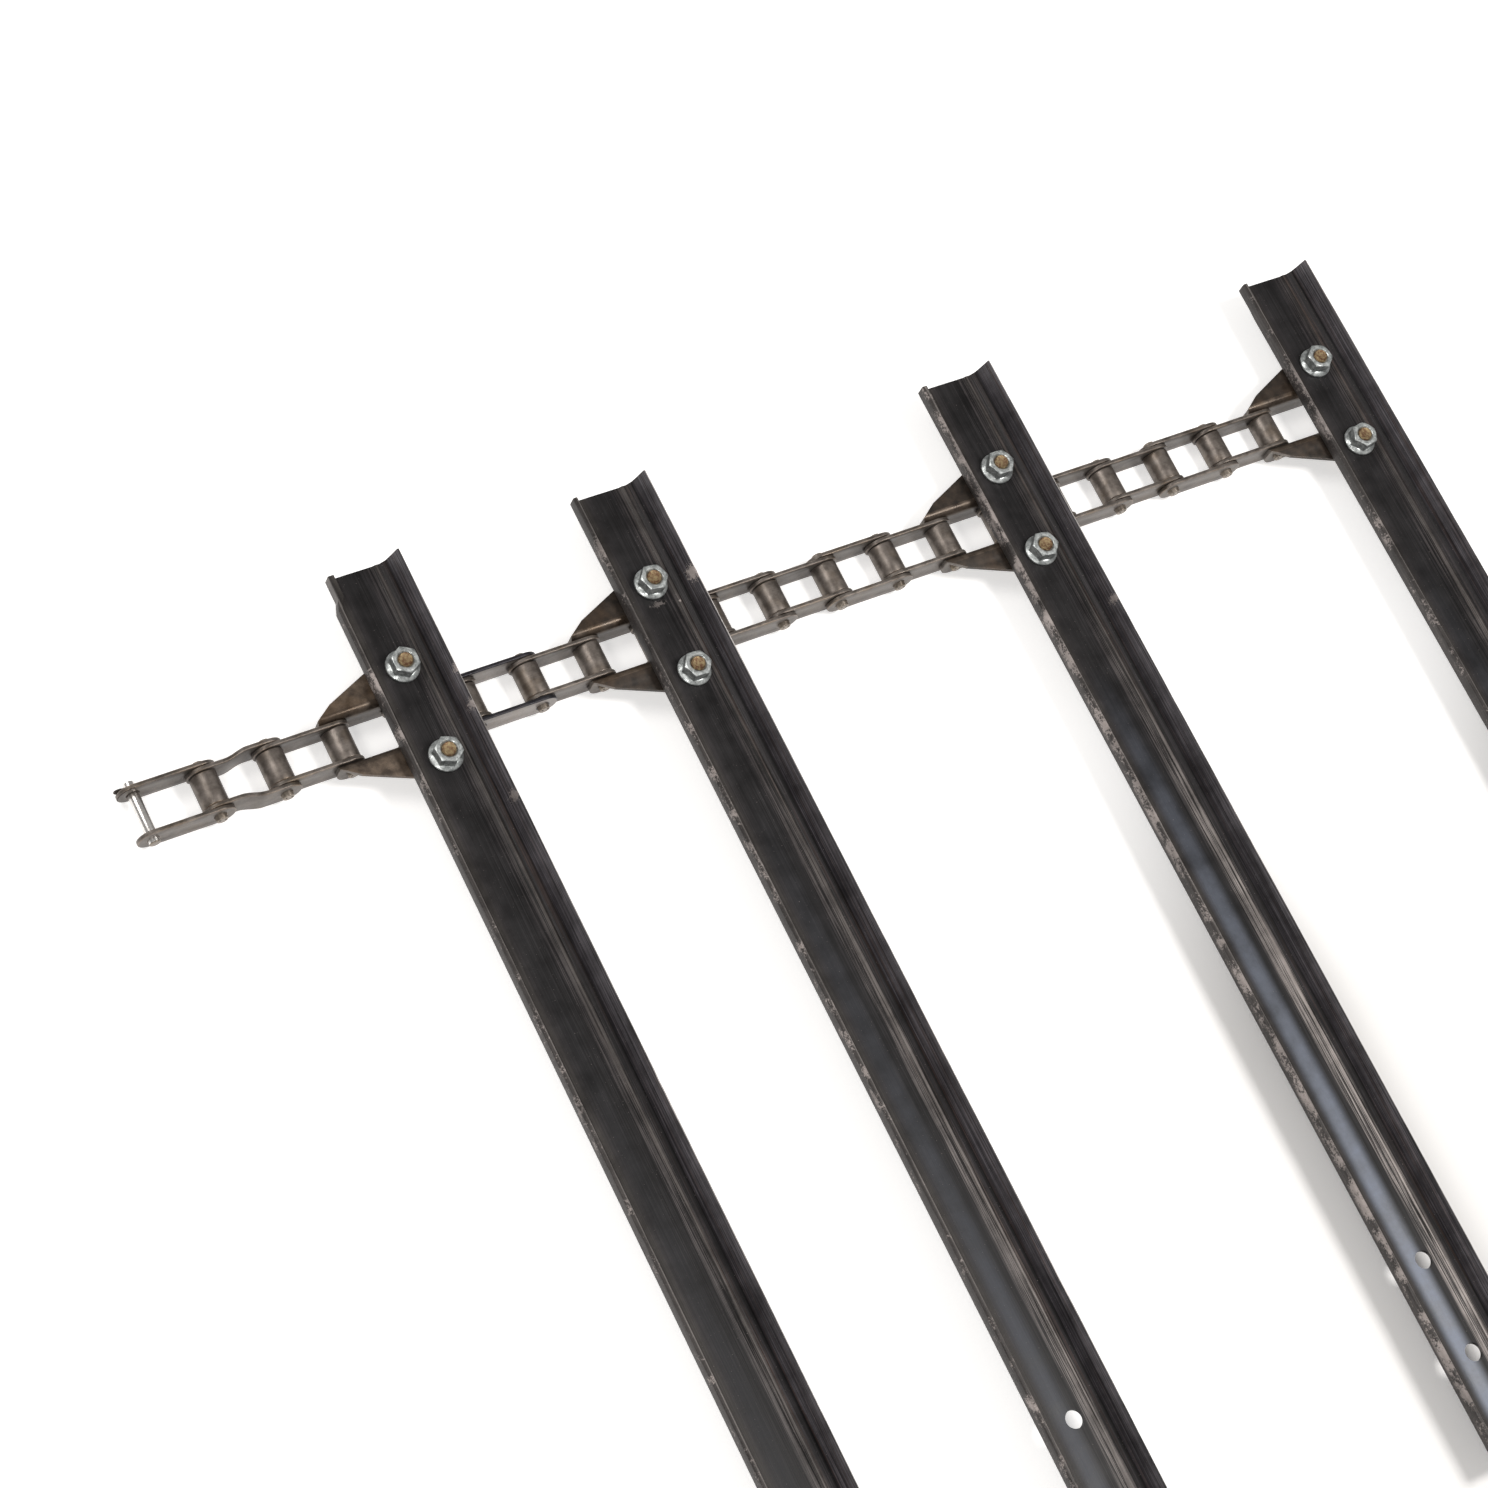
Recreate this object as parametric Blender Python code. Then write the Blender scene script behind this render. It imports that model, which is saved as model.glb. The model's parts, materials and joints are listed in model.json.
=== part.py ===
"""One strand of a feeder-house conveyor chain: twenty links of a straight-plate roller chain, four of them
with bent-out attachment plates, and a long rolled-steel slat bolted on each of those four.

Metres, +Z up. The chain runs along X and lies on the lower edges of its plates, the slats run along Y, and the
origin is at the middle of the underside of the whole strand."""

import math

import bpy
import bmesh
from mathutils import Matrix, Vector

MM = 0.001

# Driving dimensions
PITCH = 41.4 * MM  # between pin centres
LINKS = 20
PLATE_HEIGHT = 19.3 * MM
PLATE_THICK = 2.6 * MM
INNER_WIDTH = 21.0 * MM  # between the inner plates
ROLLER_DIAMETER = 16.7 * MM
BUSH_DIAMETER = 10.4 * MM
PIN_DIAMETER = 7.2 * MM
PIN_LENGTH = 37.6 * MM
CRANK_IN = 14.1 * MM  # from either pin to a bend of the offset link's plates
PIN_TAIL = 1.8 * MM  # how much further the loose pin reaches on the far side
SPLIT_PIN_EYE = 10.2 * MM  # from the loose pin's centre to the split pin's eye
SPLIT_PIN_LEGS = 3.3 * MM  # and to the ends of its legs
SPLIT_PIN_WIDE = 2.2 * MM
SPLIT_PIN_HIGH = 1.6 * MM
GAP = 0.3 * MM  # between touching pieces
BOLT_SPACING = 60.0 * MM  # between a slat's two bolts
BOLT_REACH = 50.2 * MM  # from an attachment link's left pin to its bolts
BOLT_DIAMETER = 10.0 * MM
SLAT_LENGTH = 740.0 * MM
SLAT_OVERHANG = 95.0 * MM  # from the chain's middle to a slat's near end
SLAT_WIDTH = 47.5 * MM
SLAT_RIGHT = 25.0 * MM  # from the bolts to the crest
SLAT_THICK = 2.8 * MM
LIP_HEIGHT = 9.0 * MM  # the low flange, above the slat's underside
CREST_HEIGHT = 17.5 * MM  # the high flange
LIP_WIDTH = 2.9 * MM
LIP_FILLET = 1.9 * MM  # from the lip to the web
EDGE_ROUND = 0.9 * MM  # of the lip and the crest
BEAD_START = 10.9 * MM  # from the bolts
BEAD_WIDTH = 3.4 * MM
BEAD_HEIGHT = 0.8 * MM
CREASE_IN = 6.6 * MM  # from the crest back to the crease
CREASE_RISE = 3.4 * MM  # of the crease above the web
FLANGE_THIN = 1.8 * MM  # thickness near the crest

# Which links are of which kind, counted from the left end
OFFSET_LINK = 1
SLAT_LINKS = (3, 7, 13, 19)
BLUED_LINK = 5
ROOT_LINK = 10

# What follows from them
PIN_Z = PLATE_HEIGHT / 2
INNER_PLATE_Y = INNER_WIDTH / 2  # an inner plate's inner face
OUTER_PLATE_Y = INNER_PLATE_Y + PLATE_THICK + GAP
OUTER_FACE_Y = OUTER_PLATE_Y + PLATE_THICK
TAB_TOP = PIN_Z + 0.7 * MM  # above the pin centres
TAB_BEND = 2.0 * MM  # inside radius of the bend
TAB_MARGIN = 8.5 * MM  # from a bolt to the tab's outer edge
TAB_END = BOLT_REACH + 10.3 * MM
TAB_EDGE_Y = BOLT_SPACING / 2 + TAB_MARGIN
TAB_CORNER = 2.5 * MM  # cut off the tab's outer corner
TAB_SHOULDER = 13.0 * MM  # from a bolt back to where the tab starts to taper
TAB_NOSE = 1.0 * MM  # from the left pin to where the taper steepens
TAB_NOSE_REACH = 7.3 * MM  # how far it sticks out there
SLAT_SEAT = TAB_TOP + GAP  # the slat's underside
NUT_SEAT = SLAT_SEAT + SLAT_THICK + GAP
NUT_HEIGHT = 10.0 * MM
FLANGE_THICK = 1.8 * MM
NUT_ACROSS = 15.4 * MM
FLANGE_DIAMETER = 20.8 * MM
HEAD_ACROSS = 16.0 * MM
HEAD_HEIGHT = 6.4 * MM
BOLT_TOP = NUT_SEAT + NUT_HEIGHT + 1.2 * MM
HOLE_DIAMETER = BOLT_DIAMETER + 1.2 * MM
NEXT_STRAND = SLAT_LENGTH - 2 * SLAT_OVERHANG  # between this strand's middle and its neighbour's

# Facets
PIN_SIDES = 10
ROLLER_SIDES = 16
NUT_SIDES = 16
END_STEPS = 5  # along a plate's half-round end
BEND_STEPS = 3

LEFT_END = min(-PLATE_HEIGHT / 2, -SPLIT_PIN_EYE)
RIGHT_END = (LINKS - 1) * PITCH + BOLT_REACH + SLAT_RIGHT
CHAIN_X = -(LEFT_END + RIGHT_END) / 2
CHAIN_Y = SLAT_LENGTH / 2 - SLAT_OVERHANG


def collection(name):
    made = bpy.data.collections.new(name)
    bpy.context.scene.collection.children.link(made)
    return made


def material(name, colour, roughness, metallic=1.0):
    made = bpy.data.materials.new(name)
    made.use_nodes = True
    shader = made.node_tree.nodes["Principled BSDF"]
    shader.inputs["Base Color"].default_value = (*colour, 1)
    shader.inputs["Roughness"].default_value = roughness
    shader.inputs["Metallic"].default_value = metallic
    made.diffuse_color = (*colour, 1)
    return made


def arc(centre, radius, start, end, steps):
    """Points from one angle to another, in degrees, both ends included."""
    turns = [math.radians(start + (end - start) * i / steps) for i in range(steps + 1)]
    return [(centre[0] + radius * math.cos(a), centre[1] + radius * math.sin(a)) for a in turns]


def prism(points, depth, turn=Matrix()):
    """A flat outline in XY, filled and made as thick as depth along Z, then turned."""
    curve = bpy.data.curves.new("outline", "CURVE")
    curve.dimensions = "2D"
    curve.fill_mode = "BOTH"
    curve.extrude = depth / 2
    spline = curve.splines.new("POLY")
    spline.points.add(len(points) - 1)
    for point, (x, y) in zip(spline.points, points):
        point.co = (x, y, 0, 1)
    spline.use_cyclic_u = True
    source = bpy.data.objects.new("outline", curve)
    cutters.objects.link(source)
    bpy.context.view_layer.update()
    mesh = bpy.data.meshes.new_from_object(source.evaluated_get(bpy.context.evaluated_depsgraph_get()))
    bpy.data.objects.remove(source)
    mesh.transform(turn)
    clean = bmesh.new()
    clean.from_mesh(mesh)
    bmesh.ops.remove_doubles(clean, verts=clean.verts, dist=0.00001)
    bmesh.ops.recalc_face_normals(clean, faces=clean.faces)
    clean.to_mesh(mesh)
    clean.free()
    return mesh


def rod(radius, sides, start, end, axis="Y", at=(0, 0, 0)):
    """A cylinder along Y or Z, from start to end on that axis."""
    made = bmesh.new()
    bmesh.ops.create_cone(
        made, cap_ends=True, segments=sides, radius1=radius, radius2=radius, depth=end - start
    )
    mesh = bpy.data.meshes.new("rod")
    made.to_mesh(mesh)
    made.free()
    mesh.transform(Matrix.Translation((0, 0, (start + end) / 2)))
    if axis == "Y":
        mesh.transform(Matrix.Rotation(math.radians(-90), 4, "X"))
    mesh.transform(Matrix.Translation(at))
    return mesh


def combined(first, operation, *others):
    """The mesh of first joined with, cut by or kept inside each of the others."""
    body = bpy.data.objects.new("body", first)
    cutters.objects.link(body)
    tools = []
    for mesh in others:
        tool = bpy.data.objects.new("tool", mesh)
        tool.hide_render = True
        tool.display_type = "WIRE"
        cutters.objects.link(tool)
        tools.append(tool)
        step = body.modifiers.new(operation.lower(), "BOOLEAN")
        step.operation = operation
        step.solver = "EXACT"
        step.object = tool
    bpy.context.view_layer.update()
    mesh = bpy.data.meshes.new_from_object(body.evaluated_get(bpy.context.evaluated_depsgraph_get()))
    for leftover in [body, *tools]:
        bpy.data.objects.remove(leftover)
    return mesh


def place(name, mesh, surface, at, pivot=(0, 0, 0)):
    """One sub-part: a copy of the mesh, with its origin on the pivot, put where it belongs."""
    own = mesh.copy()
    own.name = name
    own.transform(Matrix.Translation(-Vector(pivot)))
    own.materials.clear()
    own.materials.append(surface)
    own.shade_smooth()
    own.set_sharp_from_angle(angle=math.radians(35))
    made = bpy.data.objects.new(name, own)
    made.location = Vector(at) + Vector(pivot)
    strand.objects.link(made)
    return made


FACING_Y = Matrix.Rotation(math.radians(90), 4, "X")  # an outline's Y becomes Z


def side_outline():
    """A plate seen from the side: two half-round ends, one about each pin."""
    radius = PLATE_HEIGHT / 2
    return arc((0, 0), radius, 90, 270, END_STEPS) + arc((PITCH, 0), radius, -90, 90, END_STEPS)


def plate(inner_face, side):
    """A straight link plate; side is 1 for the far one and -1 for the near one."""
    mesh = prism(side_outline(), PLATE_THICK, FACING_Y)
    mesh.transform(Matrix.Translation((0, side * (inner_face + PLATE_THICK / 2), 0)))
    return mesh


def pin(x):
    return rod(PIN_DIAMETER / 2, PIN_SIDES, -PIN_LENGTH / 2, PIN_LENGTH / 2, at=(x, 0, 0))


def bush(x):
    reach = INNER_PLATE_Y + PLATE_THICK / 2
    return rod(BUSH_DIAMETER / 2, PIN_SIDES, -reach, reach, at=(x, 0, 0))


def bore(x):
    """Clears the pin, faceted as it is."""
    radius = (PIN_DIAMETER / 2 + GAP) / math.cos(math.pi / PIN_SIDES)
    return rod(radius, PIN_SIDES, -PIN_LENGTH, PIN_LENGTH, at=(x, 0, 0))


def inner_link():
    """Two inner plates on two pressed-in bushes."""
    body = combined(plate(INNER_PLATE_Y, 1), "UNION", plate(INNER_PLATE_Y, -1), bush(0), bush(PITCH))
    return combined(body, "DIFFERENCE", bore(0), bore(PITCH))


def outer_link():
    """Two outer plates on two riveted pins."""
    return combined(plate(OUTER_PLATE_Y, 1), "UNION", plate(OUTER_PLATE_Y, -1), pin(0), pin(PITCH))


def end_link():
    """The connecting link: its left pin can be taken out, so it has holes there."""
    body = combined(plate(OUTER_PLATE_Y, 1), "UNION", plate(OUTER_PLATE_Y, -1), pin(PITCH))
    return combined(body, "DIFFERENCE", bore(0))


def cranked_plate(side):
    """One plate of the offset link: an inner plate at its left end, stepped out to an outer plate."""
    step = OUTER_PLATE_Y - INNER_PLATE_Y
    start = CRANK_IN
    end = PITCH - CRANK_IN
    left = -PLATE_HEIGHT
    right = PITCH + PLATE_HEIGHT
    near = [(left, 0), (start, 0), (end, step), (right, step)]
    far = [(x, y + PLATE_THICK) for x, y in reversed(near)]
    points = [(x, side * (INNER_PLATE_Y + y)) for x, y in near + far]
    return combined(prism(points, PLATE_HEIGHT * 2), "INTERSECT", prism(side_outline(), PITCH, FACING_Y))


def offset_link():
    """An inner link at its left pin and an outer link at its right one."""
    body = combined(cranked_plate(1), "UNION", cranked_plate(-1), bush(0))
    body = combined(body, "DIFFERENCE", bore(0))
    return combined(body, "UNION", pin(PITCH))


def tab_plate(side):
    """An attachment link's plate, its top bent outwards into a tab that carries the slat: a bent sheet, trimmed
    to its outlines from above and from the side."""
    middle = (OUTER_FACE_Y + TAB_BEND, TAB_TOP - PLATE_THICK - TAB_BEND)
    sheet = (
        [(OUTER_PLATE_Y, -PIN_Z)]
        + arc(middle, TAB_BEND + PLATE_THICK, 180, 90, BEND_STEPS)
        + [(TAB_EDGE_Y, TAB_TOP), (TAB_EDGE_Y, TAB_TOP - PLATE_THICK)]
        + arc(middle, TAB_BEND, 90, 180, BEND_STEPS)
        + [(OUTER_FACE_Y, -PIN_Z)]
    )
    along = TAB_END + PLATE_HEIGHT
    turn = Matrix.Rotation(math.radians(90), 4, "Z") @ Matrix.Rotation(math.radians(90), 4, "X")
    body = prism([(side * y, z) for y, z in sheet], along, turn)
    body.transform(Matrix.Translation((along / 2 - PLATE_HEIGHT / 2, 0, 0)))
    end = PITCH + PLATE_HEIGHT / 2
    from_above = [
        (-PLATE_HEIGHT / 2, OUTER_PLATE_Y - GAP),
        (end, OUTER_PLATE_Y - GAP),
        (end, OUTER_FACE_Y + TAB_BEND),
        (TAB_END, OUTER_FACE_Y + TAB_BEND),
        (TAB_END, TAB_EDGE_Y - TAB_CORNER),
        (TAB_END - TAB_CORNER, TAB_EDGE_Y),
        (BOLT_REACH - TAB_SHOULDER, TAB_EDGE_Y),
        (TAB_NOSE, OUTER_FACE_Y + TAB_NOSE_REACH),
        (-PLATE_HEIGHT / 2, OUTER_FACE_Y),
    ]
    low = TAB_TOP - PLATE_THICK - TAB_BEND
    from_the_side = (
        [(-PLATE_HEIGHT / 2, PLATE_HEIGHT)]
        + arc((0, 0), PLATE_HEIGHT / 2, 180, 270, END_STEPS // 2)
        + arc((PITCH, 0), PLATE_HEIGHT / 2, -90, 0, END_STEPS // 2)
        + [(end, low), (2 * TAB_END, low), (2 * TAB_END, PLATE_HEIGHT)]
    )
    above = prism([(x, side * y) for x, y in from_above], PLATE_HEIGHT * 2)
    beside = prism(from_the_side, PITCH * 3, FACING_Y)
    hole = rod(HOLE_DIAMETER / 2, PIN_SIDES, 0, PLATE_HEIGHT, "Z", (BOLT_REACH, side * BOLT_SPACING / 2, 0))
    body = combined(body, "INTERSECT", above, beside)
    return combined(body, "DIFFERENCE", hole)


def attachment_link():
    """An outer link with tabs under both of its slat's bolts."""
    return combined(tab_plate(1), "UNION", tab_plate(-1), pin(0), pin(PITCH))


def roller():
    """Turns on a bush, between the inner plates."""
    half = INNER_PLATE_Y - GAP
    inside = (BUSH_DIAMETER / 2 + GAP) / math.cos(math.pi / ROLLER_SIDES)
    outside = rod(ROLLER_DIAMETER / 2, ROLLER_SIDES, -half, half)
    return combined(outside, "DIFFERENCE", rod(inside, ROLLER_SIDES, -PITCH, PITCH))


def connecting_pin():
    """The loose pin at the strand's left end, with its split pin through the far end."""
    shank = rod(PIN_DIAMETER / 2, PIN_SIDES, -PIN_LENGTH / 2, PIN_LENGTH / 2 + PIN_TAIL)
    size = (SPLIT_PIN_EYE + SPLIT_PIN_LEGS, SPLIT_PIN_WIDE, SPLIT_PIN_HIGH)
    made = bmesh.new()
    bmesh.ops.create_cube(made, size=1, matrix=Matrix.Diagonal((*size, 1)))
    split = bpy.data.meshes.new("split")
    made.to_mesh(split)
    made.free()
    beyond_plate = OUTER_FACE_Y + 2 * GAP + SPLIT_PIN_WIDE / 2
    split.transform(Matrix.Translation(((SPLIT_PIN_LEGS - SPLIT_PIN_EYE) / 2, beyond_plate, 0)))
    return combined(shank, "UNION", split)


def slat_outline():
    """The slat's section, seen along the slat with the strand running to the right: a low rounded lip, a flat
    web, a shallow bead, and a flange that sweeps up past a crease to the crest."""
    left = SLAT_RIGHT - SLAT_WIDTH
    right = SLAT_RIGHT
    top = SLAT_THICK
    crease = (right - CREASE_IN, top + CREASE_RISE)
    bead = (BEAD_START, BEAD_START + BEAD_WIDTH)
    inside = left + LIP_WIDTH
    fillet = min(LIP_FILLET, -FLANGE_DIAMETER / 2 - GAP - inside)  # clear of the nuts
    return [
        (left + EDGE_ROUND, 0),
        (left, EDGE_ROUND),
        (left, LIP_HEIGHT - EDGE_ROUND),
        (left + EDGE_ROUND, LIP_HEIGHT),
        (inside - EDGE_ROUND, LIP_HEIGHT),
        (inside, LIP_HEIGHT - EDGE_ROUND),
        (inside, top + fillet / 2),
        (inside + fillet, top),
        (bead[0], top),
        (bead[0] + BEAD_HEIGHT, top + BEAD_HEIGHT),
        (bead[1] - BEAD_HEIGHT, top + BEAD_HEIGHT),
        (bead[1], top + BEAD_HEIGHT / 4),
        crease,
        ((crease[0] + right) / 2, (crease[1] + CREST_HEIGHT) / 2 + EDGE_ROUND),
        (right - 2 * EDGE_ROUND, CREST_HEIGHT - EDGE_ROUND / 2),
        (right - EDGE_ROUND, CREST_HEIGHT),
        (right, CREST_HEIGHT - EDGE_ROUND),
        (right - EDGE_ROUND / 2, crease[1] + CREASE_IN - EDGE_ROUND),
        (crease[0] + FLANGE_THIN, crease[1] - FLANGE_THIN / 2),
        (bead[1] + FLANGE_THIN, FLANGE_THIN / 4),
        (bead[1], 0),
    ]


def slat():
    """The rolled section, cut to length, with bolt holes for this strand and for the next one along."""
    turn = Matrix.Rotation(math.radians(90), 4, "X")
    body = prism(slat_outline(), SLAT_LENGTH, turn)
    body.transform(Matrix.Translation((0, SLAT_OVERHANG - SLAT_LENGTH / 2, 0)))
    rows = [s * BOLT_SPACING / 2 - away for away in (0, NEXT_STRAND) for s in (1, -1)]
    holes = [rod(HOLE_DIAMETER / 2, PIN_SIDES, -PITCH, PITCH, "Z", (0, y, 0)) for y in rows]
    return combined(body, "DIFFERENCE", *holes)


def hexagon(across):
    return arc((0, 0), across / math.sqrt(3), 0, 300, 5)


def bolt():
    """Head below the tab, shank up through tab, slat and nut."""
    under = TAB_TOP - PLATE_THICK - GAP
    head = prism(hexagon(HEAD_ACROSS), HEAD_HEIGHT)
    head.transform(Matrix.Translation((0, 0, under - HEAD_HEIGHT / 2)))
    return combined(head, "UNION", rod(BOLT_DIAMETER / 2, PIN_SIDES, under - HEAD_HEIGHT / 2, BOLT_TOP, "Z"))


def flange_nut():
    """A hexagon nut on its own washer-like flange."""
    hexed = prism(hexagon(NUT_ACROSS), NUT_HEIGHT)
    hexed.transform(Matrix.Translation((0, 0, NUT_SEAT + NUT_HEIGHT / 2)))
    flange = rod(FLANGE_DIAMETER / 2, NUT_SIDES, NUT_SEAT, NUT_SEAT + FLANGE_THICK, "Z")
    thread = rod((BOLT_DIAMETER / 2 + GAP) / math.cos(math.pi / PIN_SIDES), PIN_SIDES, 0, PITCH, "Z")
    return combined(combined(hexed, "UNION", flange), "DIFFERENCE", thread)


def pivot_of(link):
    """Where a link turns on its neighbour nearer the root: its right pin if it is left of the root."""
    return (PITCH, 0, 0) if link < ROOT_LINK else (0, 0, 0)


def kind_of(link):
    if link == 0:
        return "connecting"
    if link == OFFSET_LINK:
        return "offset"
    if link in SLAT_LINKS:
        return "attachment"
    return "inner" if link % 2 == 0 else "outer"


for leftover in list(bpy.data.objects):
    bpy.data.objects.remove(leftover)

strand = collection("feeder_chain_strand")
cutters = collection("cutters")

plate_steel = material("plate_steel", (0.16, 0.14, 0.125), 0.42)
blued_steel = material("blued_steel", (0.055, 0.052, 0.055), 0.4)
roller_steel = material("roller_steel", (0.14, 0.125, 0.11), 0.33)
bright_pin = material("bright_pin", (0.62, 0.6, 0.57), 0.25)
slat_steel = material("slat_steel", (0.035, 0.033, 0.034), 0.5)
yellow_zinc = material("yellow_zinc", (0.62, 0.47, 0.22), 0.35)
bright_zinc = material("bright_zinc", (0.6, 0.62, 0.62), 0.28)

link_meshes = {
    "connecting": end_link(),
    "offset": offset_link(),
    "inner": inner_link(),
    "outer": outer_link(),
    "attachment": attachment_link(),
}
roller_mesh = roller()

for link in range(LINKS):
    kind = kind_of(link)
    surface = blued_steel if link == BLUED_LINK else plate_steel
    at = (CHAIN_X + link * PITCH, CHAIN_Y, PIN_Z)
    place(f"{kind}_link_{link:02d}", link_meshes[kind], surface, at, pivot_of(link))
    if link > 0:
        place(f"roller_{link:02d}", roller_mesh, roller_steel, at)

place("connecting_pin", connecting_pin(), bright_pin, (CHAIN_X, CHAIN_Y, PIN_Z))

slat_mesh = slat()
bolt_mesh = bolt()
nut_mesh = flange_nut()

for number, link in enumerate(SLAT_LINKS, 1):
    over = (CHAIN_X + link * PITCH + BOLT_REACH, CHAIN_Y, PIN_Z)
    place(f"slat_{number}", slat_mesh, slat_steel, (over[0], over[1], PIN_Z + SLAT_SEAT))
    for side, word in ((1, "far"), (-1, "near")):
        there = (over[0], over[1] + side * BOLT_SPACING / 2, PIN_Z)
        place(f"bolt_{number}_{word}", bolt_mesh, yellow_zinc, there)
        place(f"nut_{number}_{word}", nut_mesh, bright_zinc, there)
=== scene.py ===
"""A strand of feeder-house chain, laid out on a pale studio floor: rolled steel slats bolted across a roller chain."""

import json
import math

import bpy
from mathutils import Matrix, Vector, noise


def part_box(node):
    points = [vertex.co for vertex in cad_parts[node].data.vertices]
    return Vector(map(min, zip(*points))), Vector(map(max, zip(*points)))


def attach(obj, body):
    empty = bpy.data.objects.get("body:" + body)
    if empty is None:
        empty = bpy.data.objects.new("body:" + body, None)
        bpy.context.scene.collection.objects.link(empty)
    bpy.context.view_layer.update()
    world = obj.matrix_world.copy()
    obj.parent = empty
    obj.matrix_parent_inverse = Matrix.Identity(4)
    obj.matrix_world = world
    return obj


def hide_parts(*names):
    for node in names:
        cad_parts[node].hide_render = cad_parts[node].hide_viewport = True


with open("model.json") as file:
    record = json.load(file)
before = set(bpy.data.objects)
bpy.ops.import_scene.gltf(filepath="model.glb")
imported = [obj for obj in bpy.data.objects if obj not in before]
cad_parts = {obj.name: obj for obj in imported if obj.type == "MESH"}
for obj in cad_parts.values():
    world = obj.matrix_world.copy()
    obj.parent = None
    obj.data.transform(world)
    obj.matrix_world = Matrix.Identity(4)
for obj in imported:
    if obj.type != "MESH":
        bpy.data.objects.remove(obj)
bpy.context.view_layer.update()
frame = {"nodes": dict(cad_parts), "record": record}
bpy.ops.object.select_all(action="DESELECT")

MM = 0.001

# ---------------------------------------------------------------------------------------------------------------
# Studio: a white floor that glows of itself, a softbox on either side of it on the left and
# a smaller one high on the right, in a pale room. The floor's painted glow drowns the shadows but in its dim near
# corner.
# ---------------------------------------------------------------------------------------------------------------

camera_data = bpy.data.cameras.new("camera")
camera_data.lens = 96.7
camera_data.clip_end = 20
camera = bpy.data.objects.new("camera", camera_data)
camera.location = (-1.0624, -0.444, 2.063)
camera.rotation_euler = (math.radians(25.525), math.radians(-16.056), math.radians(-27.059))
bpy.context.scene.collection.objects.link(camera)
bpy.context.scene.camera = camera
bpy.context.scene.view_settings.view_transform = "Standard"


def linear(code):
    """An sRGB hex colour as the linear colour that Blender works in."""
    parts = [int(code[i : i + 2], 16) / 255 for i in (1, 3, 5)]
    return (*(c / 12.92 if c <= 0.04045 else ((c + 0.055) / 1.055) ** 2.4 for c in parts), 1)


def add(tree, kind, inputs=(), **settings):
    """A new node: settings are its own properties, and inputs pairs a socket with a value or with what feeds it."""
    made = tree.nodes.new(kind)
    for name, value in settings.items():
        setattr(made, name, value)
    for socket, value in inputs:
        if isinstance(value, bpy.types.NodeSocket):
            tree.links.new(value, made.inputs[socket])
        else:
            made.inputs[socket].default_value = value
    return made


def finish(name, metallic, roughness):
    """A material with its own shader, ready for a pattern."""
    made = bpy.data.materials.new(name)
    made.use_nodes = True
    shader = made.node_tree.nodes["Principled BSDF"]
    shader.inputs["Metallic"].default_value = metallic
    shader.inputs["Roughness"].default_value = roughness
    return made, made.node_tree, shader


# matt white floor, faintly cloudy so that it isn't one flat tone
glowing_floor, tree, shader = finish("white_floor_with_painted_glow", 0, 0.9)
place = add(tree, "ShaderNodeTexCoord").outputs["Object"]
clouds = add(tree, "ShaderNodeTexNoise", [("Vector", place), ("Scale", 4), ("Detail", 2)])
sheet_colour = add(
    tree,
    "ShaderNodeMix",
    [("Factor", clouds.outputs["Fac"]), (6, linear("#f9f9f9")), (7, linear("#fdfdfd"))],
    data_type="RGBA",
)
tree.links.new(sheet_colour.outputs[2], shader.inputs["Base Color"])
# painted glow: the floor's emission drowns the shadows, and is dimmed in the near corner, where the two long slats on
# the right end, so that their shadows show only there
where = add(tree, "ShaderNodeSeparateXYZ", [("Vector", place)])
rightwards = add(
    tree,
    "ShaderNodeMapRange",
    [("Value", where.outputs[0]), ("From Min", -0.06), ("From Max", 0.1)],
    interpolation_type="SMOOTHSTEP",
)
nearer = add(
    tree,
    "ShaderNodeMapRange",
    [("Value", where.outputs[1]), ("From Min", 0.15), ("From Max", -0.1)],
    interpolation_type="SMOOTHSTEP",
)
dim = add(tree, "ShaderNodeMath", [(0, rightwards.outputs[0]), (1, nearer.outputs[0])], operation="MULTIPLY")
glow = add(tree, "ShaderNodeMath", [(0, dim.outputs[0]), (1, -0.44), (2, 0.46)], operation="MULTIPLY_ADD")
tree.links.new(glow.outputs[0], shader.inputs["Emission Strength"])
shader.inputs["Emission Color"].default_value = (1, 1, 1, 1)

bpy.ops.mesh.primitive_plane_add(size=14, location=(0, 0, -0.0002))
floor = bpy.context.object
floor.name = "floor"
floor.data.materials.append(glowing_floor)

room = bpy.data.worlds.new("room")
bpy.context.scene.world = room
room.use_nodes = True
room.node_tree.nodes["Background"].inputs["Color"].default_value = (1.0, 0.975, 0.95, 1)
room.node_tree.nodes["Background"].inputs["Strength"].default_value = 0.32


def softbox(name, at, size, power):
    """A square diffused light, aimed at the middle of the floor."""
    bpy.ops.object.light_add(type="AREA", location=at)
    light = bpy.context.object
    light.name = name
    light.data.size = size
    light.data.energy = power
    light.data.color = (1.0, 0.97, 0.935)
    light.rotation_euler = Vector(at).to_track_quat("Z", "Y").to_euler()


softbox("left_softbox", (-1.9, -0.8, 2.2), 0.9, 20)
softbox("far_softbox", (-1.5, 1.5, 2.3), 1.3, 26)
softbox("right_softbox", (0.95, -0.35, 2.2), 0.6, 30)

# ---------------------------------------------------------------------------------------------------------------
# Link plates: stamped from 2.6 mm steel strip, tumbled, heat-treated and oiled, so they are a brown-grey with
# their edges rubbed lighter. Each link is one piece, as its pins or bushes are pressed into its plates for good.
# ---------------------------------------------------------------------------------------------------------------

LINKS = 20
PLATE_HEIGHT = 19.3 * MM
PLATE_THICK = 2.6 * MM
INNER_FACE = 10.5 * MM  # of an inner plate, from the middle of the chain
OUTER_FACE = 13.4 * MM  # the same of an outer plate
EDGE_ROUND = 0.6 * MM


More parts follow.
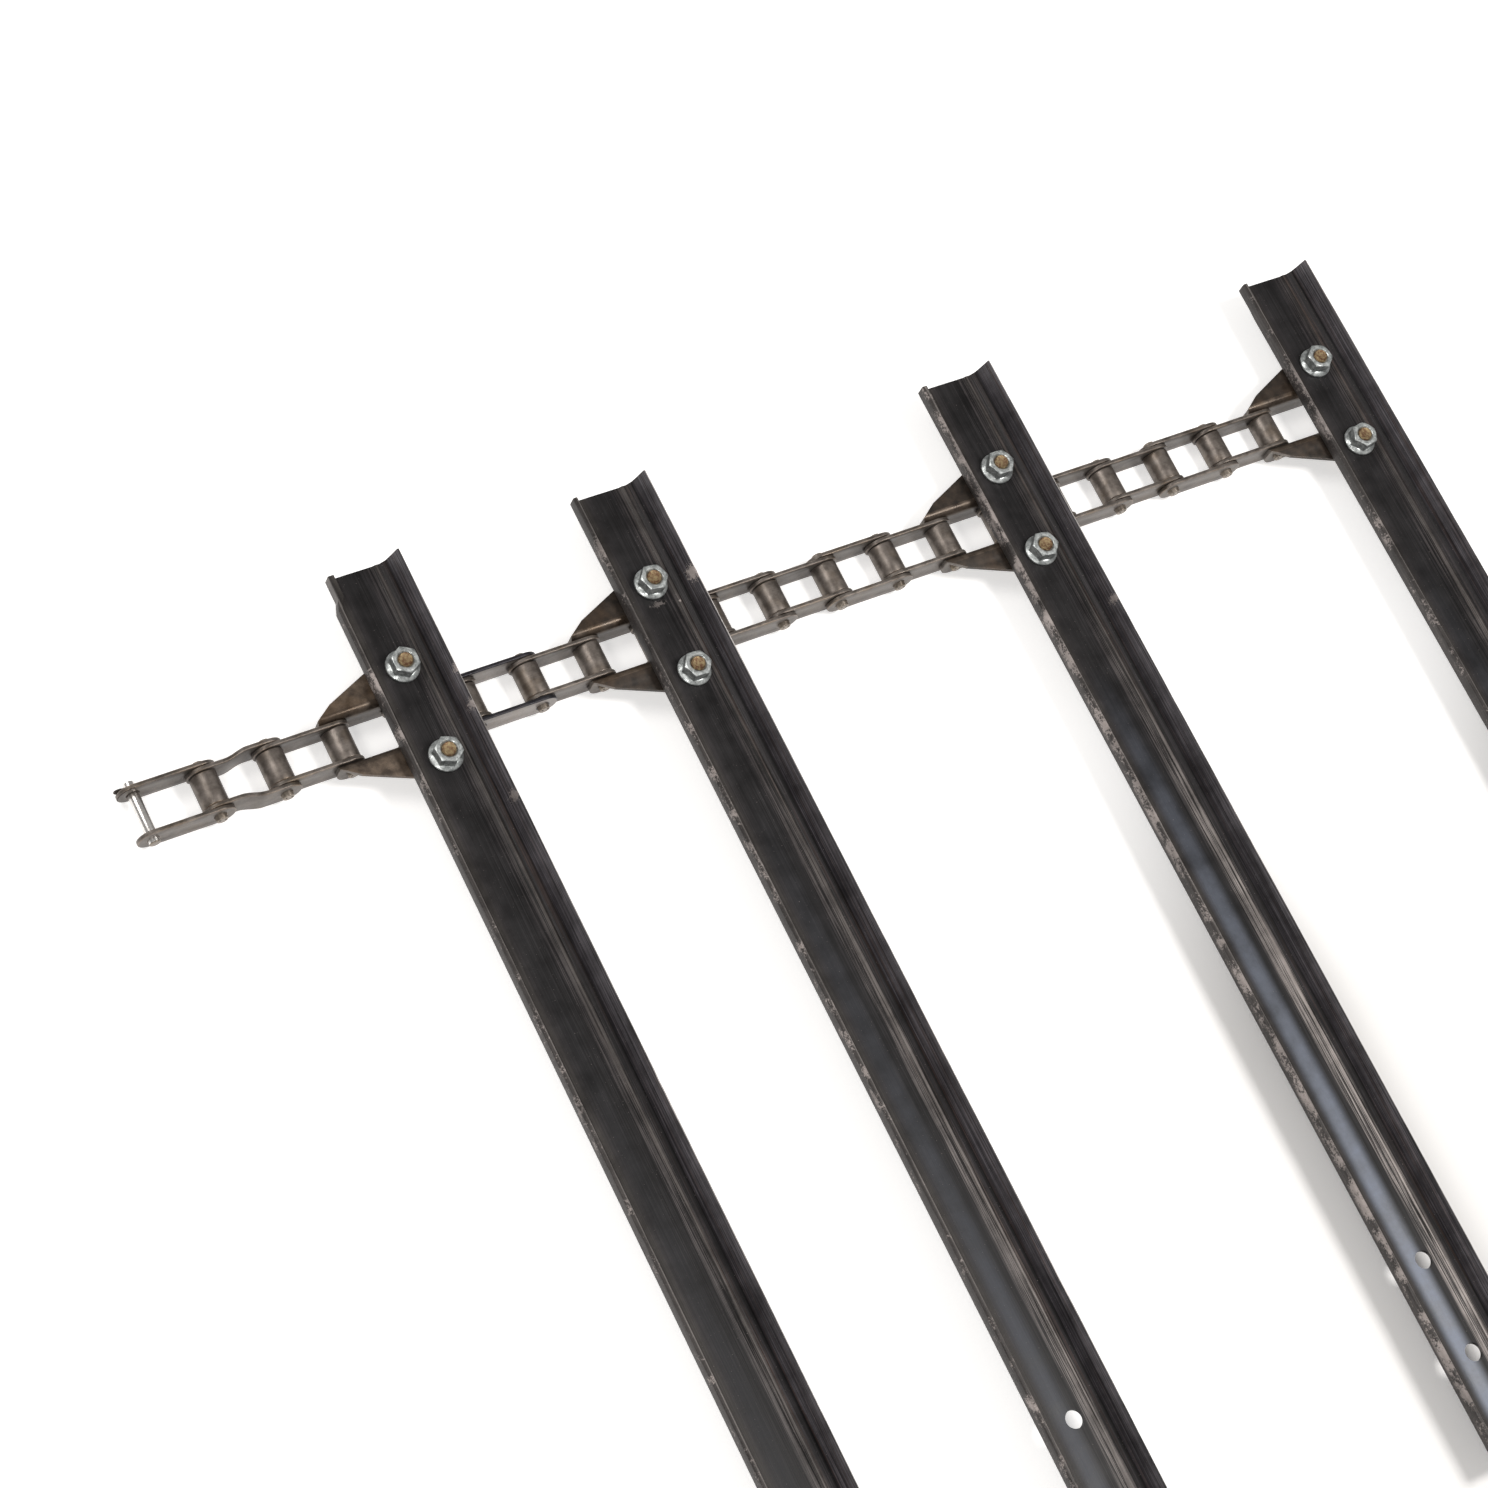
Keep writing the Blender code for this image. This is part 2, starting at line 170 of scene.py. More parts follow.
def middle(node):
    low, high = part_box(node)
    return (low + high) / 2


first_roller = middle("roller_01")
PITCH = (middle("roller_19").x - first_roller.x) / 18
pins = [first_roller + Vector(((i - 1) * PITCH, 0, 0)) for i in range(LINKS + 1)]
body_with = {node: body for body, nodes in frame["record"]["behaviour"]["bodies"].items() for node in nodes}
link_names = sorted((n for n in frame["nodes"] if "_link_" in n), key=lambda n: n[-2:])


def only(piece):
    """Selects this piece and nothing else."""
    bpy.ops.object.select_all(action="DESELECT")
    piece.select_set(True)
    bpy.context.view_layer.objects.active = piece


def settle(piece):
    """Puts a piece's place into its mesh, and leaves its object at the origin."""
    only(piece)
    bpy.ops.object.transform_apply(location=True, rotation=True, scale=True)


def apply(piece, kind, **settings):
    """Adds a modifier and applies it at once."""
    only(piece)
    step = piece.modifiers.new(kind.lower(), kind)
    for name, value in settings.items():
        setattr(step, name, value)
    bpy.ops.object.modifier_apply(modifier=step.name)


def cut(piece, tool, operation="DIFFERENCE"):
    """Cuts a piece with a tool, or keeps what lies inside it, and throws the tool away."""
    apply(piece, "BOOLEAN", object=tool, operation=operation, solver="EXACT")
    bpy.data.objects.remove(tool)


def pick(piece, wanted, kind="vertices"):
    """In edit mode, selects the vertices, edges or faces that a test says yes to."""
    only(piece)
    bpy.ops.object.mode_set(mode="EDIT")
    bpy.ops.mesh.select_mode(type={"vertices": "VERT", "edges": "EDGE", "polygons": "FACE"}[kind])
    bpy.ops.mesh.select_all(action="DESELECT")
    bpy.ops.object.mode_set(mode="OBJECT")
    for part in getattr(piece.data, kind):
        part.select = wanted(part)
    bpy.ops.object.mode_set(mode="EDIT")


def round_edges(piece, width, segments=3, surface=0, angle=40):
    apply(
        piece,
        "BEVEL",
        width=width,
        segments=segments,
        limit_method="ANGLE",
        angle_limit=math.radians(angle),
        material=surface,
        use_clamp_overlap=True,
    )


def joined(*parts):
    """Several parts as one piece, as if welded."""
    only(parts[0])
    for part in parts:
        part.select_set(True)
    bpy.ops.object.join()
    return bpy.context.object


def smooth(piece, angle=35):
    only(piece)
    bpy.ops.object.shade_smooth_by_angle(angle=math.radians(angle))


def rod(vertices, radius, depth, x=0, y=0):
    """A cylinder lying across the chain."""
    bpy.ops.mesh.primitive_cylinder_add(
        vertices=vertices, radius=radius, depth=depth, location=(x, y, 0), rotation=(math.radians(90), 0, 0)
    )
    piece = bpy.context.object
    settle(piece)
    return piece


def tube(vertices, radius, bore, depth, x=0):
    """The same with a bore right through it."""
    piece = rod(vertices, radius, depth, x)
    pick(piece, lambda f: abs(f.normal.y) > 0.9, "polygons")
    bpy.ops.mesh.inset(thickness=radius - bore)
    bpy.ops.mesh.bridge_edge_loops()
    bpy.ops.object.mode_set(mode="OBJECT")
    return piece


def drill_down(piece, radius, depth, at, vertices=40):
    """Drills an upright hole."""
    bpy.ops.mesh.primitive_cylinder_add(vertices=vertices, radius=radius, depth=depth, location=at)
    cut(piece, bpy.context.object)


def plate(inner, side, surfaces):
    """A disc with its right half drawn out by one pitch, lying against the inner face's plane."""
    piece = rod(64, PLATE_HEIGHT / 2, PLATE_THICK, y=side * (inner + PLATE_THICK / 2))
    pick(piece, lambda v: v.co.x > 0.01 * MM)
    bpy.ops.transform.translate(value=(PITCH, 0, 0))
    bpy.ops.object.mode_set(mode="OBJECT")
    for surface in surfaces:
        piece.data.materials.append(surface)
    return piece


# oiled stamped steel: brown-grey, cloudy over a few millimetres, with a fine grit that takes the shine down
def stamped_steel(name, dark, light, warm, warmth=0.35, roughness=0.42, metallic=0.55):
    made, tree, shader = finish(name, metallic, roughness)
    place = add(tree, "ShaderNodeTexCoord").outputs["Object"]
    clouds = add(
        tree, "ShaderNodeTexNoise", [("Vector", place), ("Scale", 1 / (7 * MM)), ("Detail", 5), ("Roughness", 0.6)]
    )
    grit = add(
        tree, "ShaderNodeTexNoise", [("Vector", place), ("Scale", 1 / (0.8 * MM)), ("Detail", 3), ("Roughness", 0.7)]
    )
    oil = add(tree, "ShaderNodeTexNoise", [("Vector", place), ("Scale", 1 / (16 * MM)), ("Detail", 3)])
    tone = add(tree, "ShaderNodeMapRange", [("Value", clouds.outputs["Fac"]), ("From Min", 0.36), ("From Max", 0.64)])
    steel = add(
        tree, "ShaderNodeMix", [("Factor", tone.outputs[0]), (6, linear(dark)), (7, linear(light))], data_type="RGBA"
    )
    tint_mask = add(
        tree,
        "ShaderNodeMapRange",
        [("Value", oil.outputs["Fac"]), ("From Min", 0.5), ("From Max", 0.66), ("To Max", warmth)],
    )
    tinted = add(
        tree,
        "ShaderNodeMix",
        [("Factor", tint_mask.outputs[0]), (6, steel.outputs[2]), (7, linear(warm))],
        data_type="RGBA",
    )
    speck = add(
        tree,
        "ShaderNodeMapRange",
        [("Value", grit.outputs["Fac"]), ("From Min", 0.3), ("From Max", 0.7), ("To Min", 0.82), ("To Max", 1.16)],
    )
    coloured = add(
        tree,
        "ShaderNodeMix",
        [("Factor", 1.0), (6, tinted.outputs[2]), (7, speck.outputs[0])],
        data_type="RGBA",
        blend_type="MULTIPLY",
    )
    tree.links.new(coloured.outputs[2], shader.inputs["Base Color"])
    shine = add(
        tree,
        "ShaderNodeMapRange",
        [
            ("Value", clouds.outputs["Fac"]),
            ("From Min", 0.3),
            ("From Max", 0.7),
            ("To Min", roughness - 0.08),
            ("To Max", roughness + 0.12),
        ],
    )
    tree.links.new(shine.outputs[0], shader.inputs["Roughness"])
    dents = add(tree, "ShaderNodeBump", [("Strength", 0.35), ("Distance", 0.15 * MM), ("Height", grit.outputs["Fac"])])
    tree.links.new(dents.outputs["Normal"], shader.inputs["Normal"])
    return made


plate_steel = stamped_steel("oiled_plate_steel", "#4f4944", "#746e69", "#65563f", warmth=0.22)
rubbed_edge = stamped_steel("rubbed_plate_edge", "#655c55", "#8a8078", "#836d52", roughness=0.36)
bush_steel = stamped_steel("bush_steel", "#4c443d", "#695f56", "#7d6543", roughness=0.35)
pin_steel = stamped_steel("pin_end_steel", "#71685f", "#958c82", "#84745b", roughness=0.36, metallic=0.7)
# dark steel: the split pin's own colour, and painted shade in the stake marks' recesses and in the gaps between links'
# plates
dark_wire_and_shade = stamped_steel("dark_wire_and_painted_shade", "#2c2622", "#3a322c", "#3f3020", roughness=0.6, metallic=0.3)

PIN_RADIUS = 3.6 * MM
PIN_HALF = 18.8 * MM
PIN_PLAY = 0.2 * MM  # between a pin and the rolled-over rim of its hole


def riveted_pin(x):
    """A hardened pin: its ends stand 2.8 mm out of the plates and are staked with two punch marks."""
    piece = rod(40, PIN_RADIUS, 2 * PIN_HALF, x)
    piece.data.materials.append(pin_steel)
    piece.data.materials.append(dark_wire_and_shade)
    round_edges(piece, 0.7 * MM, 4)
    for side in (1, -1):
        for across in (-1, 1):
            bpy.ops.mesh.primitive_cone_add(
                vertices=16,
                radius1=0.95 * MM,
                radius2=0.5 * MM,
                depth=1.2 * MM,
                location=(x + across * 1.75 * MM, side * PIN_HALF, 0.9 * MM),
                rotation=(math.radians(90 * side), 0, 0),
            )
            punch = bpy.context.object
            settle(punch)
            # the punch mark's walls take the dark material: painted shade in the recess
            punch.data.materials.append(dark_wire_and_shade)
            cut(piece, punch)
    return piece


BUSH_RADIUS = 5.2 * MM
BUSH_BORE = 3.75 * MM


def pressed_bush(x):
    """A tube between the inner plates, bored for the pin, whose ends show as a ring in the plates."""
    piece = tube(40, BUSH_RADIUS, BUSH_BORE, 2 * (INNER_FACE + PLATE_THICK), x)
    piece.data.materials.append(bush_steel)
    return piece


def through_hole(piece, x, radius, half=20 * MM):
    """Drills a piece across the chain."""
    cut(piece, rod(40, radius, 2 * half, x))


def painted_gap_shade(piece, facing):
    """Painted shade in the gap between two links' plates: round both joints, the rounded edges that face that way take
    the dark material.
    """
    piece.data.materials.append(dark_wire_and_shade)
    for face in piece.data.polygons:
        by_a_joint = not PLATE_HEIGHT / 2 < face.center.x < PITCH - PLATE_HEIGHT / 2
        if by_a_joint and face.material_index == 1 and face.normal.y * facing > 0.3:
            face.material_index = 2


def inner_plate(side):
    piece = plate(INNER_FACE, side, (plate_steel, rubbed_edge))
    for x in (0, PITCH):
        through_hole(piece, x, BUSH_RADIUS)
    round_edges(piece, EDGE_ROUND, surface=1)
    painted_gap_shade(piece, side)
    return piece


def outer_plate(side, bored=(0, PITCH), surfaces=None):
    piece = plate(OUTER_FACE, side, surfaces or (plate_steel, rubbed_edge))
    for x in bored:
        through_hole(piece, x, PIN_RADIUS + PIN_PLAY)
    round_edges(piece, EDGE_ROUND, surface=1)
    painted_gap_shade(piece, -side)
    return piece


inner_link = joined(inner_plate(1), inner_plate(-1), pressed_bush(0), pressed_bush(PITCH))
outer_link = joined(outer_plate(1), outer_plate(-1), riveted_pin(0), riveted_pin(PITCH))
end_link = joined(outer_plate(1), outer_plate(-1), riveted_pin(PITCH))

# heat-blued plates: nearly black round the edge, and ground back to grey on the faces
blued_edge = stamped_steel("blued_plate_edge", "#26252a", "#37353a", "#3a3436", roughness=0.34)
ground_face = stamped_steel("ground_plate_face", "#77716d", "#8f8985", "#7f7468", roughness=0.4)


def blued_plate(side):
    piece = outer_plate(side, surfaces=(ground_face, blued_edge))
    for face in piece.data.polygons:
        if abs(face.normal.y) < 0.6:
            face.material_index = 1
    return piece


blued_link = joined(blued_plate(1), blued_plate(-1), riveted_pin(0), riveted_pin(PITCH))

CRANK_START = 0.32  # of the pitch
CRANK_END = 0.68


def cranked_plate(side):
    """A plate that steps out from between its neighbours' plates to outside them."""
    piece = plate(INNER_FACE, side, (plate_steel, rubbed_edge))
    steps = 9
    for i in range(steps + 1):
        pick(piece, lambda v: True)
        at = PITCH * (CRANK_START + (CRANK_END - CRANK_START) * i / steps)
        bpy.ops.mesh.bisect(plane_co=(at, 0, 0), plane_no=(1, 0, 0))
        bpy.ops.object.mode_set(mode="OBJECT")
    for vertex in piece.data.vertices:
        along = (vertex.co.x / PITCH - CRANK_START) / (CRANK_END - CRANK_START)
        along = min(max(along, 0), 1)
        vertex.co.y += side * (OUTER_FACE - INNER_FACE) * along * along * (3 - 2 * along)
    through_hole(piece, 0, BUSH_RADIUS)
    through_hole(piece, PITCH, PIN_RADIUS + PIN_PLAY)
    round_edges(piece, EDGE_ROUND, surface=1)
    return piece


offset_link = joined(cranked_plate(1), cranked_plate(-1), pressed_bush(0), riveted_pin(PITCH))

# Attachment plates: the same plate with its top left long and bent outwards into a flat tab for a slat's bolt.
# The tab is a tapering wing, dark from the heat of the bending, lighter along its bend, and rubbed lighter along its
# edge.

FIRST_SLAT_LINK = 3  # counted from 0 at the loose end
TAB_SURFACE = 2  # the tabs' place among an attachment link's materials
TAB_TOP = 10.35 * MM  # above the pins
TAB_BEND = 2.0 * MM
BOLT_X = 50.2 * MM
BOLT_Y = 30.0 * MM
BOLT_HOLE = 5.6 * MM  # its radius, in tabs and slats

# the first slat's two tabs are browner and lighter than the others
tab_steel = stamped_steel("bent_tab_steel", "#2a2521", "#433931", "#503c29", roughness=0.42, metallic=0.4)
browned_tab = stamped_steel("browned_tab_steel", "#443a32", "#6a5c4f", "#5f4a33", roughness=0.42, metallic=0.45)
tab_edge = stamped_steel("bent_tab_edge", "#6b635b", "#8b8178", "#80694c", roughness=0.38)
bend_band = stamped_steel("bend_band", "#453c35", "#655a50", "#5f4b35", roughness=0.33, metallic=0.6)


def block(points, low, high, axis):
    """A flat outline, given by its corners, drawn out along one axis: a cutting tool."""
    bpy.ops.mesh.primitive_circle_add(vertices=len(points), radius=1, fill_type="NGON")
    piece = bpy.context.object
    for vertex, (a, b) in zip(piece.data.vertices, points):
        vertex.co = (a, b, low) if axis == "Z" else (a, low, b) if axis == "Y" else (low, a, b)
    reach = {"Z": (0, 0, high - low), "Y": (0, high - low, 0), "X": (high - low, 0, 0)}[axis]
    pick(piece, lambda f: True, "polygons")
    bpy.ops.mesh.extrude_region_move(TRANSFORM_OT_translate={"value": reach})
    bpy.ops.mesh.select_all(action="SELECT")
    bpy.ops.mesh.normals_make_consistent(inside=False)
    bpy.ops.object.mode_set(mode="OBJECT")
    return piece


def bow(centre, radius, start, end, steps):
    """Points round part of a circle, in degrees."""
    turns = [math.radians(start + (end - start) * i / steps) for i in range(steps + 1)]
    return [(centre[0] + radius * math.cos(a), centre[1] + radius * math.sin(a)) for a in turns]


def tab_plate(side):
    """A bent sheet, trimmed to its outline from above and from the side, and drilled."""
    knee = (OUTER_FACE + PLATE_THICK + TAB_BEND, TAB_TOP - PLATE_THICK - TAB_BEND)
    edge = BOLT_Y + 8.5 * MM
    sheet = [(OUTER_FACE, -PLATE_HEIGHT)]
    sheet += bow(knee, TAB_BEND + PLATE_THICK, 180, 90, 12)
    sheet += [(edge, TAB_TOP), (edge, TAB_TOP - PLATE_THICK)]
    sheet += bow(knee, TAB_BEND, 90, 180, 8)
    sheet += [(OUTER_FACE + PLATE_THICK, -PLATE_HEIGHT)]
    piece = block([(side * y, z) for y, z in sheet], -20 * MM, 80 * MM, "X")
    piece.data.materials.append(plate_steel)
    left = -PLATE_HEIGHT / 2
    right = PITCH + PLATE_HEIGHT / 2
    tab_end = BOLT_X + 10.3 * MM
    low = TAB_TOP - PLATE_THICK - TAB_BEND
    from_above = [
        (left, 0),
        (right, 0),
        (right, OUTER_FACE + PLATE_THICK + TAB_BEND),
        (tab_end, OUTER_FACE + PLATE_THICK + TAB_BEND),
        *bow((tab_end - 2.5 * MM, edge - 2.5 * MM), 2.5 * MM, 0, 90, 4),
        *bow((BOLT_X - 12 * MM, edge - 4 * MM), 4 * MM, 90, 113, 3),
        (1 * MM, OUTER_FACE + PLATE_THICK + 7.3 * MM),
        (left, OUTER_FACE + PLATE_THICK),
    ]
    from_the_side = [(left, PLATE_HEIGHT)]
    from_the_side += bow((0, 0), PLATE_HEIGHT / 2, 180, 270, 14)
    from_the_side += bow((PITCH, 0), PLATE_HEIGHT / 2, -90, 0, 14)
    from_the_side += [(right, low), (tab_end + MM, low), (tab_end + MM, PLATE_HEIGHT)]
    cut(piece, block([(x, side * y) for x, y in from_above], -30 * MM, 30 * MM, "Z"), "INTERSECT")
    cut(piece, block(from_the_side, -60 * MM, 60 * MM, "Y"), "INTERSECT")
    for x in (0, PITCH):
        through_hole(piece, x, PIN_RADIUS + PIN_PLAY, 60 * MM)
    drill_down(piece, BOLT_HOLE, 40 * MM, (BOLT_X, side * BOLT_Y, 0))
    for surface in (tab_edge, tab_steel, bend_band):
        piece.data.materials.append(surface)
    round_edges(piece, EDGE_ROUND, surface=1, angle=50)
    for face in piece.data.polygons:
        if face.material_index == 0 and abs(face.center.y) > OUTER_FACE + PLATE_THICK + TAB_BEND:
            face.material_index = TAB_SURFACE
        elif face.material_index == 0 and face.center.z > low and face.normal.y * side < -0.05:
            face.material_index = 3
    return piece


attachment_link = joined(tab_plate(1), tab_plate(-1), riveted_pin(0), riveted_pin(PITCH))

masters = {
    "connecting": end_link,
    "offset": offset_link,
    "inner": inner_link,
    "outer": outer_link,
    "blued": blued_link,
    "attachment": attachment_link,
}
for master in masters.values():
    smooth(master)


def put(master, name, at, *nodes):
    """A copy of a finished piece with a mesh of its own, moved to its place and riding on its CAD nodes' body."""
    piece = bpy.data.objects.new(name, master.data.copy())
    bpy.context.scene.collection.objects.link(piece)
    piece.data.transform(Matrix.Translation(at))
    bpy.context.view_layer.update()
    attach(piece, body_with[nodes[0]])
    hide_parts(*nodes)
    return piece


for number, node in enumerate(link_names):
    kind = "blued" if number == 5 else node.split("_")[0]  # the sixth link is the heat-blued one
    piece = put(masters[kind], f"fine_{node}", pins[number], node)
    if number == FIRST_SLAT_LINK:
        piece.data.materials[TAB_SURFACE] = browned_tab

for master in masters.values():
    bpy.data.objects.remove(master)

# ---------------------------------------------------------------------------------------------------------------
# Rollers: short tubes turned from bar, that spin on the bushes. Their ends are rounded over, and the running
# face is a satin brown-grey with fine rings from turning, rubbed a little golden towards its ends.
# ---------------------------------------------------------------------------------------------------------------

ROLLER_RADIUS = 8.35 * MM
ROLLER_BORE = 5.45 * MM
ROLLER_HALF = 10.2 * MM

turned_steel, tree, shader = finish("turned_roller_steel", 0.7, 0.4)
place = add(tree, "ShaderNodeTexCoord").outputs["Object"]
# rings a third of a millimetre apart, drawn twice as coarse as they are so that they show
rings = add(tree, "ShaderNodeMapping", [("Vector", place), ("Scale", (0.03, 1, 0.03))])
ring_noise = add(tree, "ShaderNodeTexNoise", [("Vector", rings.outputs[0]), ("Scale", 1 / (0.7 * MM)), ("Detail", 2)])
clouds = add(
    tree, "ShaderNodeTexNoise", [("Vector", place), ("Scale", 1 / (6 * MM)), ("Detail", 5), ("Roughness", 0.6)]
)
tone = add(tree, "ShaderNodeMapRange", [("Value", clouds.outputs["Fac"]), ("From Min", 0.35), ("From Max", 0.65)])
metal = add(
    tree,
    "ShaderNodeMix",
    [("Factor", tone.outputs[0]), (6, linear("#605953")), (7, linear("#877f79"))],
    data_type="RGBA",
)
gold = add(tree, "ShaderNodeTexNoise", [("Vector", place), ("Scale", 1 / (11 * MM)), ("Detail", 3)])
gold_part = add(
    tree, "ShaderNodeMapRange", [("Value", gold.outputs["Fac"]), ("From Min", 0.52), ("From Max", 0.7), ("To Max", 0.2)]
)
warmed = add(
    tree,
    "ShaderNodeMix",
    [("Factor", gold_part.outputs[0]), (6, metal.outputs[2]), (7, linear("#7b6548"))],
    data_type="RGBA",
)
ring_shade = add(
    tree,
    "ShaderNodeMapRange",
    [("Value", ring_noise.outputs["Fac"]), ("From Min", 0.3), ("From Max", 0.7), ("To Min", 0.93), ("To Max", 1.06)],
)
ringed = add(
    tree,
    "ShaderNodeMix",
    [("Factor", 1.0), (6, warmed.outputs[2]), (7, ring_shade.outputs[0])],
    data_type="RGBA",
    blend_type="MULTIPLY",
)
tree.links.new(ringed.outputs[2], shader.inputs["Base Color"])
ring_bump = add(
    tree, "ShaderNodeBump", [("Strength", 0.25), ("Distance", 0.08 * MM), ("Height", ring_noise.outputs["Fac"])]
)
tree.links.new(ring_bump.outputs["Normal"], shader.inputs["Normal"])

roller = tube(64, ROLLER_RADIUS, ROLLER_BORE, 2 * ROLLER_HALF)
roller.data.materials.append(turned_steel)
roller.data.materials.append(rubbed_edge)
round_edges(roller, 0.7 * MM, 3, surface=1)
smooth(roller)

for i in range(1, LINKS):
    piece = put(roller, f"fine_roller_{i:02d}", pins[i], f"roller_{i:02d}")
bpy.data.objects.remove(roller)

# ---------------------------------------------------------------------------------------------------------------
# Connecting pin: the one bright ground pin, pushed through the last link's plates and held at its far end by a
# split pin of half-round wire, whose eye shows on one side and whose two legs are spread on the other.
# ---------------------------------------------------------------------------------------------------------------

ground_steel, tree, shader = finish("ground_pin_steel", 1.0, 0.27)
place = add(tree, "ShaderNodeTexCoord").outputs["Object"]
# grinding lines run round the pin, a few hundredths wide, and are drawn ten times as coarse
lines = add(tree, "ShaderNodeMapping", [("Vector", place), ("Scale", (0.02, 1, 0.02))])
grinding = add(tree, "ShaderNodeTexNoise", [("Vector", lines.outputs[0]), ("Scale", 1 / (0.5 * MM)), ("Detail", 3)])
shade = add(
    tree,
    "ShaderNodeMix",
    [("Factor", grinding.outputs["Fac"]), (6, linear("#c8c5c2")), (7, linear("#efedeb"))],
    data_type="RGBA",
)
tree.links.new(shade.outputs[2], shader.inputs["Base Color"])

pin_low, pin_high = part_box("connecting_pin")
PIN_FAR = pin_high.y - pins[0].y
SPLIT_Y = 17.7 * MM
WIRE = 0.8 * MM

loose_pin = rod(48, PIN_RADIUS, PIN_FAR + PIN_HALF, y=(PIN_FAR - PIN_HALF) / 2)
loose_pin.data.materials.append(ground_steel)
loose_pin.data.materials.append(pin_steel)
round_edges(loose_pin, 0.6 * MM, 3)
for face in loose_pin.data.polygons:
    if face.center.y < -OUTER_FACE - PLATE_THICK / 2:
        face.material_index = 1


def wire(points, radius):
    """Round wire along a smooth run of points, as a closed mesh."""
    run = bpy.data.curves.new("wire", "CURVE")
    run.dimensions = "3D"
    run.bevel_depth = radius
    run.bevel_resolution = 3
    run.use_fill_caps = True
    spline = run.splines.new("NURBS")
    spline.points.add(len(points) - 1)
    for point, where in zip(spline.points, points):
        point.co = (*where, 1)
    spline.order_u = 3
    spline.use_endpoint_u = True
    spline.resolution_u = 6
    made = bpy.data.objects.new("wire", run)
    bpy.context.scene.collection.objects.link(made)
    only(made)
    bpy.ops.object.convert(target="MESH")
    return bpy.context.object


y = SPLIT_Y
split_pin = wire(
    [
        (3.0 * MM, y + 0.5 * MM, 0.6 * MM),
        (-2.5 * MM, y, 0.6 * MM),
        (-4.4 * MM, y, 0.8 * MM),
        (-6.6 * MM, y, 1.9 * MM),
        (-9.3 * MM, y, 1.2 * MM),
        (-9.3 * MM, y, -1.2 * MM),
        (-6.6 * MM, y, -1.9 * MM),
        (-4.4 * MM, y, -0.8 * MM),
        (-2.5 * MM, y, -0.6 * MM),
        (3.0 * MM, y - 0.3 * MM, -0.6 * MM),
    ],
    WIRE,
)
split_pin.data.materials.append(dark_wire_and_shade)
loose_pin = joined(loose_pin, split_pin)
smooth(loose_pin)
piece = put(loose_pin, "fine_connecting_pin", pins[0], "connecting_pin")
bpy.data.objects.remove(loose_pin)

# ---------------------------------------------------------------------------------------------------------------
# Slats: one hot-rolled section, cut to length and never painted. Black mill scale covers it, with drawn-out
# streaks from the rolls, flaked to bare steel along the low lip and scuffed along the high crest. Painted highlights
# run along the lip's top and the crest, with painted shade in the crease and a painted bluish sheen in the web.
# ---------------------------------------------------------------------------------------------------------------

SLAT_LEFT = -22.5 * MM  # from the bolts
SLAT_RIGHT = 25.0 * MM
SLAT_THICK = 2.8 * MM
LIP_HEIGHT = 9.0 * MM
CREST_HEIGHT = 17.5 * MM
slat_low, slat_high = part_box("slat_1")
SLAT_LENGTH = slat_high.y - slat_low.y
OVERHANG = slat_high.y - pins[0].y
SEAT = slat_low.z


def section():
    """The rolled section, seen along the slat: rounded lip, flat web, shallow bead, swept-up flange."""
    left, right, top = SLAT_LEFT, SLAT_RIGHT, SLAT_THICK
    crease = (right - 6.6 * MM, top + 3.4 * MM)
    points = [(left + 1.0 * MM, 0), (left + 0.3 * MM, 0.3 * MM), (left, 1.2 * MM), (left, 4.5 * MM)]
    points += bow((left + 0.9 * MM, LIP_HEIGHT - 0.9 * MM), 0.9 * MM, 180, 90, 3)
    points += bow((left + 2.2 * MM, LIP_HEIGHT - 0.7 * MM), 0.7 * MM, 90, 0, 3)
    points += [(left + 3.05 * MM, LIP_HEIGHT - 3 * MM)]
    points += bow((left + 4.9 * MM, top + 1.8 * MM), 1.8 * MM, 180, 270, 4)
    points += [(-10 * MM, top), (0, top), (8 * MM, top)]
    points += [(10.4 * MM, top), (11.0 * MM, top + 0.25 * MM)]
    points += [(11.8 * MM, top + 0.75 * MM), (12.6 * MM, top + 0.85 * MM)]
    points += [(13.4 * MM, top + 0.75 * MM), (14.3 * MM, top + 0.45 * MM), (15.6 * MM, top + 1.1 * MM)]
    points += [(17.2 * MM, top + 2.3 * MM), (crease[0] - 0.4 * MM, crease[1] - 0.5 * MM), crease]
    points += [(right - 5.4 * MM, 8.6 * MM), (right - 4.2 * MM, 11.1 * MM), (right - 3.2 * MM, 13.5 * MM)]
    points += [(right - 2.3 * MM, 15.9 * MM), (right - 1.75 * MM, 17.1 * MM), (right - 1.2 * MM, CREST_HEIGHT)]
    points += [(right - 0.5 * MM, CREST_HEIGHT - 0.15 * MM), (right, CREST_HEIGHT - 1.0 * MM)]
    points += [(right - 0.5 * MM, 11.9 * MM), (right - 2.2 * MM, 8.2 * MM), (right - 4.2 * MM, 5.3 * MM)]
    points += [(18.2 * MM, 2.2 * MM), (16.4 * MM, 0.5 * MM), (14.6 * MM, 0)]
    return points


STEP = 1.25 * MM  # between rings along the slat
rings = round(SLAT_LENGTH / STEP)
slat = block(section(), OVERHANG - SLAT_LENGTH, OVERHANG, "Y")
pick(
    slat,
    lambda e: abs(slat.data.vertices[e.vertices[0]].co.y - slat.data.vertices[e.vertices[1]].co.y) > 0.1,
    "edges",
)
bpy.ops.mesh.subdivide(number_cuts=rings - 1)
bpy.ops.object.mode_set(mode="OBJECT")
